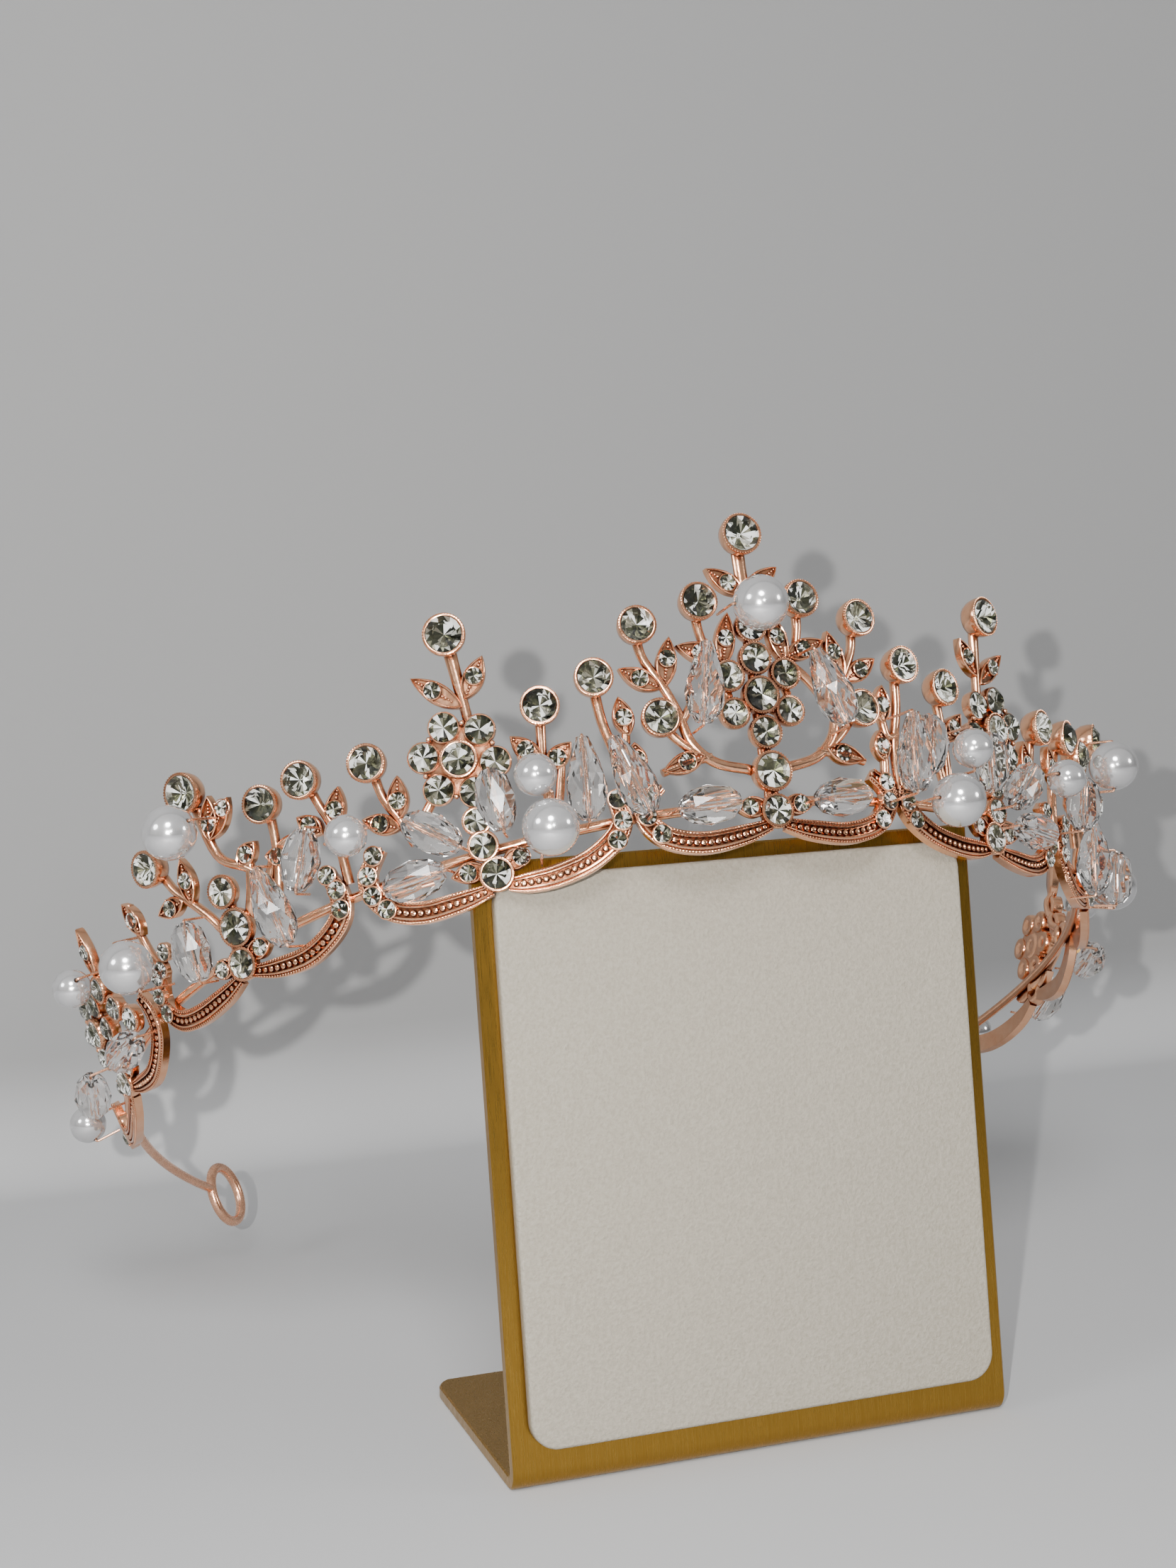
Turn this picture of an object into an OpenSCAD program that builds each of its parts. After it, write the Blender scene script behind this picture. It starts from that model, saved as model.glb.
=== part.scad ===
// A cast filigree tiara set with stones, crystals and pearls, on a small padded display stand.
// The tiara is drawn flat, along the band and up the crest, and then bent round the head.

/* [Band] */
// Radius of the band at the forehead
front_r = 89; // [84:1:96]
// Radius of the band at the temples
side_r = 69; // [64:1:76]
// Radius of the band behind the ears
rear_r = 94; // [86:1:110]
// Length of the forehead arc, from the middle
front_arc = 60; // [56:1:64]
// Length along the band at which the temple arc ends
side_arc = 120; // [114:1:126]
// Outward lean of the crest, in degrees
flare = 17.3; // [10:0.1:22]
// Diameter of the band's wire
wire_d = 1.5; // [1.3:0.1:1.7]
// Height of the wire's middle above the rim's line
wire_h = 2.3; // [1.8:0.1:2.8]
// Outer diameter of the eye at each end of the wire
eye_d = 11.8; // [10.8:0.1:13]

/* [Crest] */
// Distance between two flowers on the rim
pitch = 41.2; // [39:0.1:43]
// Height of the middle spire's stone above the rim's line
crest_h = 41.3; // [39:0.1:44]
// Thickness of the cast metal
cast_t = 1.2; // [1:0.1:1.5]
// Width of a scallop at its lowest point
rim_w = 3.2; // [2.8:0.1:3.6]
// Thickness of the stems
stem_d = 1.1; // [0.9:0.1:1.4]
// Width of a leaf
leaf_w = 3.1; // [2.9:0.1:3.4]

/* [Stones] */
// Radius of the round stones on the stems
ball_r = 2.4; // [2.2:0.05:2.5]
// Radius of the stones on the spires
spire_r = 2.65; // [2.4:0.05:2.8]
// Radius of the flower stones
flower_r = 2.1; // [1.9:0.05:2.2]
// Radius of the small stones on leaves and scallops
seed_r = 1.2; // [1:0.05:1.25]
// Wall of a round setting
cup_t = 0.42; // [0.38:0.02:0.5]
// Gap between a stone and its setting
stone_gap = 0.12; // [0.1:0.01:0.2]

/* [Beads] */
// Diameter of the large pearls
pearl_d = 8; // [7.4:0.1:8.4]
// Diameter of the small pearls
small_pearl_d = 6; // [5.4:0.1:6.4]
// Diameter of the crystals
crystal_d = 6.1; // [5.6:0.1:6.2]
// Length of the barrel crystals
barrel_l = 8.6; // [8:0.1:9]
// Length of the drop crystals
drop_l = 11.6; // [11:0.1:12]
// Diameter of the holes in the beads
hole_d = 0.8; // [0.7:0.05:1]
// Diameter of the beading wire
bead_wire_d = 0.4; // [0.3:0.05:0.45]

/* [Stand] */
// Width of the stand
stand_w = 77.4; // [70:0.1:84]
// Length of the leaning panel
panel_l = 88.7; // [84:0.1:92]
// Lean of the panel, in degrees
lean = 8; // [4:0.5:12]
// Depth of the foot
foot_l = 41.3; // [38:0.1:60]
// Thickness of the stand's sheet
sheet_t = 2; // [1.5:0.1:2.5]
// Inner radius of the bend between panel and foot
bend_r = 1; // [0.5:0.1:2]
// Thickness of the pad
pad_t = 2; // [1:0.1:2.4]
// Margin of the pad at the sides
pad_side = 2.6; // [2:0.1:6]
// Margin of the pad at its top
pad_top = 2.2; // [2:0.1:8]
// Margin of the pad at its bottom
pad_bottom = 6.2; // [4:0.1:12]
// Corner radius of the pad
pad_r = 4; // [2:0.1:8]

/* [Pose on the stand] */
// Slope of the band, ends down, in degrees
slope = 36.6; // [34:0.1:38]
// Turn of the tiara about the upright, in degrees
yaw = 3.1; // [0:0.1:4]
// Tilt of the tiara to one side, in degrees
tilt = 1.3; // [0:0.1:2]
// Shift of the tiara to the right of the stand's middle
shift_x = 4.2; // [3:0.1:5]

/* [Hidden] */
LEFT = -1;
RIGHT = 1;
SIDES = [LEFT, RIGHT];
turn_1 = front_arc / front_r * 180 / PI;
turn_2 = turn_1 + (side_arc - front_arc) / side_r * 180 / PI;
front_end = [front_r * sin(turn_1), front_r * (1 - cos(turn_1))];
side_end = front_end + side_r * [sin(turn_2) - sin(turn_1), cos(turn_1) - cos(turn_2)];
rear_mid = side_end + rear_r * [-sin(turn_2), cos(turn_2)];
plate_end = 3.56 * pitch;
rim_end = 3.76 * pitch;
wire_end = 4.58 * pitch;
foot_mid = foot_l / 2;
plate_back = -0.95;
plate_front = plate_back + cast_t;
wire_depth = plate_back + 0.2 - wire_d / 2;
seat_back = 8.55;
seat_up = 4.81;
joint_gap = 0.06;
eye_wire_d = wire_d + 0.25;
seed_up = 0.12;
seed_top = 0.55;
leaf_up = 0.3;
over = 1;
wire_over = 0.3;
stone_sides = 8;
cup_h = 2;
pocket_h = 1.3;

// Shares of pitch along the band, of crest_h up and of rim_w across.
SCALLOPS = [
  [[0.03, -0.03, 0.55], [0.13, -0.055, 0.9], [0.27, -0.068, 1], [0.39, -0.04, 1], [0.455, 0.02, 0.95],
   [0.465, 0.09, 0.85], [0.40, 0.145, 0.65]],
  [[0.97, -0.075, 0.55], [0.9, -0.085, 0.9], [0.8, -0.085, 1], [0.68, -0.06, 1], [0.585, -0.005, 1],
   [0.545, 0.06, 0.9], [0.56, 0.14, 0.65]],
  [[1.03, -0.075, 0.55], [1.13, -0.085, 0.9], [1.27, -0.082, 1], [1.37, -0.045, 1], [1.425, 0.02, 0.95],
   [1.43, 0.10, 0.85], [1.36, 0.175, 0.6]],
  [[1.96, -0.03, 0.55], [1.86, -0.06, 0.9], [1.74, -0.072, 1], [1.64, -0.045, 1], [1.565, 0.01, 1],
   [1.545, 0.09, 0.9], [1.57, 0.175, 0.6]],
  [[2.03, -0.03, 0.55], [2.13, -0.05, 0.9], [2.27, -0.055, 1], [2.38, -0.03, 1], [2.435, 0.03, 0.95],
   [2.44, 0.1, 0.85], [2.37, 0.175, 0.6]],
  [[2.96, -0.03, 0.55], [2.86, -0.062, 0.9], [2.74, -0.08, 1], [2.64, -0.05, 1], [2.565, 0.01, 1],
   [2.545, 0.09, 0.9], [2.57, 0.165, 0.6]],
  [[3.03, -0.03, 0.55], [3.13, -0.06, 0.9], [3.27, -0.068, 1], [3.41, -0.05, 1], [3.53, 0.0, 0.95],
   [3.57, 0.075, 0.8], [3.52, 0.14, 0.55]]];

// Stems, in shares of pitch along, crest_h up and stem_d across.
STEMS = [
  [[0.16, 0.6, 1], [0.175, 0.68, 1.1], [0.175, 0.765, 1.3]],
  [[0.0, 0.155, 1.4], [0.08, 0.172, 1.3], [0.19, 0.205, 1.3], [0.262, 0.28, 1.3], [0.29, 0.39, 1.2],
   [0.325, 0.49, 1.2], [0.375, 0.6, 1.1], [0.383, 0.705, 1.3]],
  [[0.53, 0.1, 1.4], [0.52, 0.25, 1.3], [0.545, 0.4, 1.2], [0.549, 0.547, 1.3]],
  [[0.25, 0.24, 1.1], [0.31, 0.3, 1.1], [0.362, 0.373, 1.4]],
  [[0.762, 0.05, 1.3], [0.77, 0.19, 1.2], [0.758, 0.33, 1.1], [0.733, 0.487, 1.3]],
  [[1.24, 0.15, 1.2], [1.27, 0.254, 1.2], [1.3, 0.34, 1.1], [1.308, 0.462, 1.3]],
  [[1.5, 0.1, 1.3], [1.49, 0.28, 1.2], [1.515, 0.4, 1.1], [1.532, 0.492, 1.3]],
  [[1.78, 0.13, 1.2], [1.73, 0.24, 1.2], [1.7, 0.35, 1.1], [1.684, 0.472, 1.3]],
  [[2.0, 0.06, 1.2], [2.04, 0.19, 1.2], [2.1, 0.29, 1.2], [2.16, 0.38, 1.1], [2.194, 0.489, 1.3]],
  [[2.36, 0.15, 1.2], [2.4, 0.25, 1.1], [2.41, 0.36, 1.1], [2.4, 0.45, 0.8]],
  [[2.98, 0.02, 1.4], [2.7, 0.12, 1.4], [2.762, 0.218, 1.2], [2.805, 0.322, 1.2], [2.79, 0.42, 1.1]],
  [[3.0, 0.0, 1.6], [3.0, 0.12, 1.4]],
  [[0.2, 0.225, 1.1], [0.29, 0.215, 1.2], [0.38, 0.19, 1]],
  [[0.28, 0.36, 1], [0.2, 0.47, 1.1], [0.13, 0.55, 1.2], [0.12, 0.6, 1]],
  [[0.46, 0.1, 1.2], [0.47, 0.2, 1.1], [0.46, 0.26, 1]],
  [[0.535, 0.3, 1], [0.49, 0.29, 1.1], [0.47, 0.38, 1]],
  [[0.8, 0.05, 1.2], [0.74, 0.16, 1.1], [0.7, 0.3, 1]],
  [[0.93, 0.3, 1.2], [0.96, 0.42, 1.2], [0.964, 0.55, 1.2], [0.966, 0.78, 1.5]],
  [[1.26, 0.2, 1.2], [1.2, 0.22, 1.3], [1.14, 0.28, 1.2]],
  [[1.75, 0.2, 1.2], [1.83, 0.3, 1.2], [1.93, 0.4, 1.2], [1.937, 0.62, 1.5]],
  [[1.96, 0.08, 1.2], [1.87, 0.2, 1.2], [1.81, 0.345, 1.1]],
  [[1.56, 0.3, 1], [1.65, 0.33, 1.1], [1.73, 0.29, 1.2], [1.79, 0.2, 1.1]],
  [[0.0, 0.4, 1], [0.1, 0.368, 1], [0.1, 0.501, 1]],
  [[1.958, 0.136, 1], [1.957, 0.272, 1]],
  [[1.0, -0.03, 1], [1.02, 0.162, 1], [1.022, 0.38, 1]]];

// Leaves: base and tip, in shares of pitch along and crest_h up; then the stone's place between them.
LEAVES = [
  [[0.0, 0.795], [0.13, 0.89], 0.42], [[0.112, 0.545], [0.07, 0.73], 0.5],
  [[0.115, 0.565], [0.267, 0.625], 0.45], [[0.322, 0.49], [0.277, 0.66], 0.55],
  [[0.335, 0.485], [0.466, 0.57], 0.48], [[0.47, 0.34], [0.48, 0.475], 0.45],
  [[0.23, 0.23], [0.38, 0.194], 0.4], [[0.46, 0.2], [0.455, 0.31], 0.45],
  [[0.765, 0.3], [0.85, 0.415], 0.5], [[0.755, 0.275], [0.655, 0.35], 0.42],
  [[0.972, 0.56], [1.112, 0.7], 0.55], [[0.955, 0.585], [0.865, 0.71], 0.5],
  [[1.27, 0.25], [1.23, 0.395], 0.42], [[1.495, 0.3], [1.427, 0.43], 0.45],
  [[1.275, 0.22], [1.39, 0.29], 0.5], [[1.53, 0.3], [1.6, 0.385], 0.5],
  [[1.66, 0.27], [1.755, 0.31], 0.5], [[1.86, 0.325], [1.765, 0.375], 0.45],
  [[1.93, 0.46], [1.87, 0.6], 0.35], [[1.925, 0.46], [1.8, 0.56], 0.74],
  [[2.1, 0.3], [2.07, 0.46], 0.5], [[2.13, 0.325], [2.27, 0.335], 0.5],
  [[2.39, 0.33], [2.42, 0.47], 0.45], [[2.8, 0.38], [2.765, 0.565], 0.5],
  [[0.03, 0.035], [0.15, 0.04], 0.56], [[1.03, 0.0], [1.155, 0.0], 0.5],
  [[0.97, 0.0], [0.875, 0.01], 0.68], [[2.03, 0.03], [2.14, 0.035], 0.52],
  [[1.96, 0.03], [1.845, 0.035], 0.56], [[3.03, 0.03], [3.15, 0.035], 0.56],
  [[2.97, 0.03], [2.85, 0.035], 0.56], [[3.53, 0.07], [3.74, 0.02], 0.62]];

// Round settings on both sides: shares of pitch along, crest_h up and flower_r; then how far they stand out.
BEZELS = [
  [0.1, 0.368, 0.9, 0.5], [0.1, 0.501, 0.94, 0.5], [1.02, 0.162, 0.8, 0.5], [1.02, 0.075, 0.88, 0.5],
  [1.957, 0.272, 1, 0.5], [1.958, 0.136, 1.2, 0.5], [1.0, -0.03, 1, 0.5], [1.99, 0.012, 1, 0.5],
  [3.0, 0.012, 1, 0.5], [2.68, 0.13, 0.85, 0.5], [2.762, 0.218, 0.85, 0.5], [2.805, 0.322, 0.85, 0.7]];
// The same for the column in the middle.
COLUMN = [
  [0, 0.017, 1, 0.5], [0, 0.155, 1.22, 0.9], [0, 0.295, 1, 0.5], [0, 0.426, 1.15, 0.8], [0, 0.559, 1, 0.5],
  [0, 0.673, 0.95, 0.5]];
// Cups on stems, then on spires: shares of pitch along and crest_h up.
BALLS = [
  [0.175, 0.765], [0.383, 0.705], [0.549, 0.547], [0.362, 0.373], [0.733, 0.487], [1.308, 0.462],
  [1.532, 0.492], [1.684, 0.472], [2.194, 0.489]];
SPIRES = [[0.966, 0.806], [1.937, 0.644]];

// Rosettes on both sides: shares of pitch along and crest_h up, then the size.
ROSETTES = [[1.022, 0.38, 1], [3.0, 0.235, 0.92]];
petal_r = 5.1;
petal_turn = 79;
petals = 6;
petal_up = 0.5;
petal_half = 14;
petal_waist = 1.02;
rosette_up = 1.3;
rosette_stone = 1.1;

// Pearls: shares of pitch along and crest_h up, depth, turn in degrees, then the depths at which the wire's
// two legs end; left side, then right side.
LARGE_PEARLS = [
  [[-0.791, 0.056, 6.8, 60, -0.8, 0.9], [0.655, 0.037, 6.2, 0, 0.3, -0.8]],
  [[-1.961, 0.51, 6.4, 0, 0.5, 0.8], [1.8, 0.47, 6.2, 90, 1.5, 0.1]],
  [[-2.379, 0.215, 5.6, -82, 0.8, -0.6], [2.379, 0.215, 5.6, 82, -0.6, 0.8]]];
SMALL_PEARLS = [
  [[-0.799, 0.24, 6.4, 120, 0.9, -0.4], [0.743, 0.236, 6.2, 90, 0.9, 1]],
  [[-1.42, 0.237, 5, 0, 0.8, 1.4], [1.346, 0.257, 5, 0, 0.8, 0.3]],
  [[-2.777, 0.349, 5, 0, 1.2, 0.5], [2.777, 0.349, 5, 0, 0.5, 1.2]],
  [[-3.633, 0.162, 5, 90, 0.9, 0.6], [3.633, 0.162, 5, 90, 0.9, 0.6]]];
centre_pearl = [-0.012, 0.72, 6, 0, 0.5, 0.8];
// Crystals: the same, then drop (1) or barrel (0).
CRYSTALS = [
  [[-0.221, 0.461, 5, -102, 1.5, 0, 1], [0.203, 0.425, 5, -70, 0.8, 0.4, 1]],
  [[-0.267, 0.044, 4, 0, -0.5, -0.5, 0], [0.211, 0.039, 4, 4, 1.4, -0.6, 0]],
  [[-0.505, 0.179, 5, -75, 0.8, 0.4, 1], [0.476, 0.196, 6.6, -93, 0.9, 0.3, 1]],
  [[-0.646, 0.203, 3.8, -97, 0.5, -0.6, 1], [0.607, 0.25, 3.4, -97, 0.5, -0.4, 0]],
  [[-0.936, 0.199, 4.4, 90, -0.4, 1.7, 0], [0.888, 0.218, 4.2, 90, 0.5, 2.2, 0]],
  [[-1.155, 0.148, 5, -42, 0.8, 1, 0], [1.045, 0.154, 5, 50, 1.4, 1.1, 0]],
  [[-1.255, 0.019, 4, 0, -0.8, -0.6, 0], [1.115, 0, 4.7, 0, 1.9, 0.4, 0]],
  [[-1.585, 0.218, 5, 60, 0.5, 0.8, 0], [1.517, 0.208, 4.6, -100, 0.9, 0.9, 0]],
  [[-1.733, 0.116, 5, -87, 0.8, 0.7, 1], [1.614, 0.024, 4.6, -87, -0.8, 0.4, 1]],
  [[-2.083, 0.116, 5, 80, 1.3, 0.9, 0], [2.083, 0.116, 5, -80, 0.9, 1.3, 0]],
  [[-2.667, 0.015, 4, 0, -0.6, 0.2, 0], [2.667, 0.015, 4, 0, 0.2, -0.6, 0]],
  [[-3.119, 0.056, 4.8, 20, -0.2, 1.6, 0], [3.119, 0.056, 4.8, -20, 1.6, -0.2, 0]]];
ALONG = 0;
UP = 1;
DEPTH = 2;
TURN = 3;
LEG_A = 4;
LEG_B = 5;
DROP = 6;

// Sections: shares of the width across, then depth from the plate's front.
channel = [[-0.5, -cast_t], [-0.5, 0.2], [0, -0.3], [0.5, 0.2], [0.5, -cast_t]];
stem_section = [[-0.6, -cast_t], [0, 0.35], [0.6, -cast_t]];
// Outline of a leaf: shares of its length, then of its width.
leaf_line = [[-0.56, 0], [-0.12, -0.5], [0.16, -0.45], [0.5, 0], [0.16, 0.45], [-0.12, 0.5]];
// Outlines along a bead's axis: shares of its length, then of its diameter.
barrel_line = [[-0.5, 0.2], [-0.3, 0.42], [0, 0.48], [0.3, 0.42], [0.5, 0.2]];
drop_line = [[-0.5, 0.15], [-0.22, 0.34], [0.1, 0.48], [0.34, 0.42], [0.5, 0.22]];
// Outlines of a stone in a cup and of one on a flat setting: shares of its radius across, then up.
deep_line = [[0.2, -0.42], [0.92, 0], [0.92, 0.08], [0.52, 0.42]];
flat_line = [[0.86, 0], [0.92, 0.12], [0.52, 0.45]];

gold = [0.8, 0.58, 0.47];
clear = [0.9, 0.9, 0.92];
white = [0.97, 0.96, 0.95];
brass = [0.75, 0.58, 0.25];
ivory = [0.88, 0.86, 0.82];

function arc_turn(a) = a < front_arc ? a / front_r * 180 / PI
  : a < side_arc ? turn_1 + (a - front_arc) / side_r * 180 / PI
  : turn_2 + (a - side_arc) / rear_r * 180 / PI;
function arc_point(a, t) = a < front_arc ? front_r * [sin(t), 1 - cos(t)]
  : a < side_arc ? front_end + side_r * [sin(t) - sin(turn_1), cos(turn_1) - cos(t)]
  : side_end + rear_r * [sin(t) - sin(turn_2), cos(turn_2) - cos(t)];
function side(s) = s < 0 ? LEFT : RIGHT;
// A point at s along the band, h up the crest and d outward.
function place(s, h, d) =
  let (t = arc_turn(abs(s)), p = arc_point(abs(s), t), out = d * cos(flare) + h * sin(flare))
  [side(s) * (p.x + sin(t) * out), p.y - cos(t) * out, h * cos(flare) - d * sin(flare)];
function blend(a, b, c, d, t) =
  0.5 * (2 * b + (c - a) * t + (2 * a - 5 * b + 4 * c - d) * t * t + (3 * b - a - 3 * c + d) * t * t * t);
function curve(p, cuts) = [
  for (i = [0 : len(p) - 2]) for (j = [0 : cuts - 1])
    blend(p[max(i - 1, 0)], p[i], p[i + 1], p[min(i + 2, len(p) - 1)], j / cuts),
  p[len(p) - 1]];
function unit(v) = v / norm(v);

module at(s, h, d) {
  t = arc_turn(abs(s));
  translate(place(s, h, d)) rotate([0, 0, side(s) * t]) rotate([90 + flare, 0, 0]) children();
}

module worn() {
  translate([shift_x, panel_l * sin(lean) - seat_back - foot_mid, panel_l * cos(lean) + seat_up])
    rotate([0, 0, yaw]) rotate([-slope, 0, 0]) rotate([0, tilt, 0]) children();
}

// A strip along a path of [s, h, width], bent round the head.
module strip(path, section, depth) {
  last = len(path) - 1;
  count = len(section);
  points = [
    for (i = [0 : last])
      let (a = path[max(i - 1, 0)], b = path[min(i + 1, last)], u = unit([b.x - a.x, b.y - a.y]))
      for (q = section)
        place(path[i].x - u.y * q.x * path[i].z, path[i].y + u.x * q.x * path[i].z, depth + q.y)];
  walls = [
    for (i = [0 : last - 1]) for (j = [0 : count - 1])
      let (k = (j + 1) % count)
      each [[i * count + j, (i + 1) * count + k, (i + 1) * count + j],
            [i * count + j, i * count + k, (i + 1) * count + k]]];
  start = [for (j = [count - 1 : -1 : 0]) j];
  end = [for (j = [0 : count - 1]) last * count + j];
  polyhedron(points, concat(walls, [start, end]), convexity = 8);
}

function sized(p, g, width) = [for (q = p) [g * q.x * pitch, q.y * crest_h, q.z * width]];

module scallops() {
  for (g = SIDES, p = SCALLOPS)
    strip(curve(sized(p, g, rim_w), 2), channel, plate_front);
}

module stems() {
  for (g = SIDES, p = STEMS)
    strip(curve(sized(p, g, stem_d), 1), stem_section, plate_front);
  middle = [[-0.001, -0.02, 2], [-0.001, 0.4, 1.6], [-0.001, 0.7, 1.5], [-0.001, 0.95, 1.6]];
  strip(sized(middle, RIGHT, stem_d), stem_section, plate_front);
}

module leaf(base, tip) {
  from = [base.x * pitch, base.y * crest_h];
  to = [tip.x * pitch, tip.y * crest_h];
  l = norm(to - from);
  mid = (from + to) / 2;
  hull() at(mid.x, mid.y, plate_back) rotate(atan2(to.y - from.y, to.x - from.x))
    linear_extrude(cast_t + leaf_up)
      polygon([for (q = leaf_line) [q.x * l, q.y * leaf_w]]);
}

module leaves() {
  for (g = SIDES, p = LEAVES)
    leaf([g * p[0].x, p[0].y], [g * p[1].x, p[1].y]);
}

// Round settings as [s, h, stone radius, height above the plate's front].
function plain_settings() = concat(
  [for (p = COLUMN) [0, p[UP] * crest_h, p[2] * flower_r, p[3]]],
  [for (g = SIDES, p = BEZELS) [g * p[ALONG] * pitch, p[UP] * crest_h, p[2] * flower_r, p[3]]],
  [for (g = SIDES, p = ROSETTES)
    [g * p[ALONG] * pitch, p[UP] * crest_h, p[2] * flower_r * rosette_stone, rosette_up]]);
function cup_settings() = concat(
  [for (g = SIDES, p = BALLS) [g * p[ALONG] * pitch, p[UP] * crest_h, ball_r, cup_h]],
  [for (g = SIDES, p = SPIRES) [g * p[ALONG] * pitch, p[UP] * crest_h, spire_r, cup_h]],
  [[0, crest_h, spire_r, cup_h]]);

module cups() {
  for (c = concat(plain_settings(), cup_settings()))
    hull() at(c[0], c[1], plate_back)
      cylinder(r = c[2] + stone_gap + cup_t, h = cast_t + c[3], $fn = stone_sides);
}

module rosettes() {
  lobe = petal_r + flower_r + cup_t;
  waist = petal_r * petal_waist;
  half = petal_half;
  step = 360 / petals;
  for (g = SIDES, p = ROSETTES)
    at(g * p[ALONG] * pitch, p[UP] * crest_h, plate_back) mirror([g == LEFT ? 1 : 0, 0, 0])
      linear_extrude(cast_t + petal_up) polygon([for (k = [0 : petals - 1])
        let (v = petal_turn + k * step)
        each [p[2] * lobe * [cos(v - half), sin(v - half)], p[2] * lobe * [cos(v + half), sin(v + half)],
          p[2] * waist * [cos(v + step / 2), sin(v + step / 2)]]]);
}

module pockets() {
  for (c = cup_settings())
    hull() at(c[0], c[1], plate_front + c[3] - pocket_h)
      cylinder(r = (c[2] + stone_gap) / cos(180 / stone_sides), h = pocket_h + over, $fn = stone_sides);
}

module band() {
  steps = 40;
  line = [for (i = [0 : steps]) [(2 * i / steps - 1) * rim_end, wire_h, wire_d]];
  wire = [for (k = [0 : 4]) [-cos(k * 72) / 2, sin(k * 72) / 2 * wire_d]];
  strip(line, wire, wire_depth);
}

module end_plates() {
  for (g = SIDES)
    hull() at(g * plate_end, wire_h, wire_depth - wire_d / 2)
      cylinder(r = 1.5 * wire_d, h = plate_front - wire_depth + wire_d / 2, $fn = 8);
}

module crest() {
  color(gold) worn() difference() {
    union() {
      scallops();
      stems();
      leaves();
      cups();
      rosettes();
      band();
      end_plates();
    }
    pockets();
  }
}

module end_loop(g) {
  out = wire_depth * cos(flare) + wire_h * sin(flare);
  rise = wire_h * cos(flare) - wire_depth * sin(flare);
  ring_r = (eye_d - eye_wire_d) / 2;
  from = arc_turn(rim_end + joint_gap);
  to = arc_turn(wire_end);
  color(gold) worn() translate([0, 0, rise]) mirror([g == LEFT ? 1 : 0, 0, 0])
    translate([rear_mid.x, rear_mid.y, 0]) {
      rotate([0, 0, from - 90]) rotate_extrude(angle = to - from, $fn = 96)
        translate([rear_r + out, 0]) circle(d = wire_d, $fn = 24);
      rotate([0, 0, to - 90]) translate([rear_r + out, ring_r, 0]) rotate([0, 90, 0])
        rotate_extrude($fn = 48) translate([ring_r, 0]) circle(d = eye_wire_d, $fn = 24);
    }
}

module end_loop_left() { end_loop(LEFT); }
module end_loop_right() { end_loop(RIGHT); }

// A cut stone: the same outline cut four times round its axis.
module cut_stone(line, r) {
  full = concat([for (q = line) [q.x * r, q.y * r]],
    [for (i = [len(line) - 1 : -1 : 0]) [-line[i].x * r, line[i].y * r]]);
  intersection_for (k = [0 : 3])
    rotate([0, 0, k * 45]) rotate([90, 0, 0]) linear_extrude(3 * r, center = true) polygon(full);
}

module ball_stones() {
  color(clear) worn() {
    for (c = plain_settings())
      at(c[0], c[1], plate_front + c[3] + seed_up) cut_stone(flat_line, c[2]);
    for (g = SIDES, p = ROSETTES, k = [0 : petals - 1])
      let (v = petal_turn + k * 360 / petals, r = petal_r * p[2])
      at(g * p[ALONG] * pitch, p[UP] * crest_h, plate_front + petal_up + seed_up)
        translate([g * r * cos(v), r * sin(v), 0]) cut_stone(flat_line, p[2] * flower_r);
    for (c = cup_settings())
      at(c[0], c[1], plate_front + c[3]) cut_stone(deep_line, c[2]);
  }
}

module seed(s, h) {
  r = seed_r;
  points = concat(
    [for (k = [0 : 7]) [r * cos(k * 45), r * sin(k * 45), 0]],
    [for (k = [0 : 7]) seed_top * r * [cos(k * 45), sin(k * 45), 1]]);
  walls = [for (k = [0 : 7]) [k, 8 + k, 8 + (k + 1) % 8, (k + 1) % 8]];
  at(s, h, plate_front + leaf_up + seed_up)
    polyhedron(points, concat(walls, [[for (k = [0 : 7]) k], [for (k = [7 : -1 : 0]) 8 + k]]));
}

module seed_stones() {
  color(clear) worn() for (g = SIDES, p = LEAVES)
    let (q = p[0] + (p[1] - p[0]) * p[2])
    seed(g * q.x * pitch, q.y * crest_h);
}

module bore(l) {
  cylinder(d = hole_d, h = l, center = true, $fn = 24);
}

module pearl(p, d) {
  color(white) worn() at(p[ALONG] * pitch, p[UP] * crest_h, p[DEPTH]) rotate([0, 90, p[TURN]])
    difference() {
      sphere(d = d, $fn = 64);
      bore(2 * d);
    }
}

// A faceted bead along x: the same outline cut four times round its axis.
module faceted(line, l) {
  full = concat([for (q = line) [q.x * l, q.y * crystal_d]],
    [for (i = [len(line) - 1 : -1 : 0]) [line[i].x * l, -line[i].y * crystal_d]]);
  difference() {
    intersection_for (k = [0 : 3])
      rotate([k * 45, 0, 0]) linear_extrude(2 * crystal_d, center = true) polygon(full);
    rotate([0, 90, 0]) bore(2 * l);
  }
}

module crystal(p) {
  color(clear) worn() at(p[ALONG] * pitch, p[UP] * crest_h, p[DEPTH]) rotate(p[TURN])
    if (p[DROP] == 1) faceted(drop_line, drop_l);
    else faceted(barrel_line, barrel_l);
}

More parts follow.
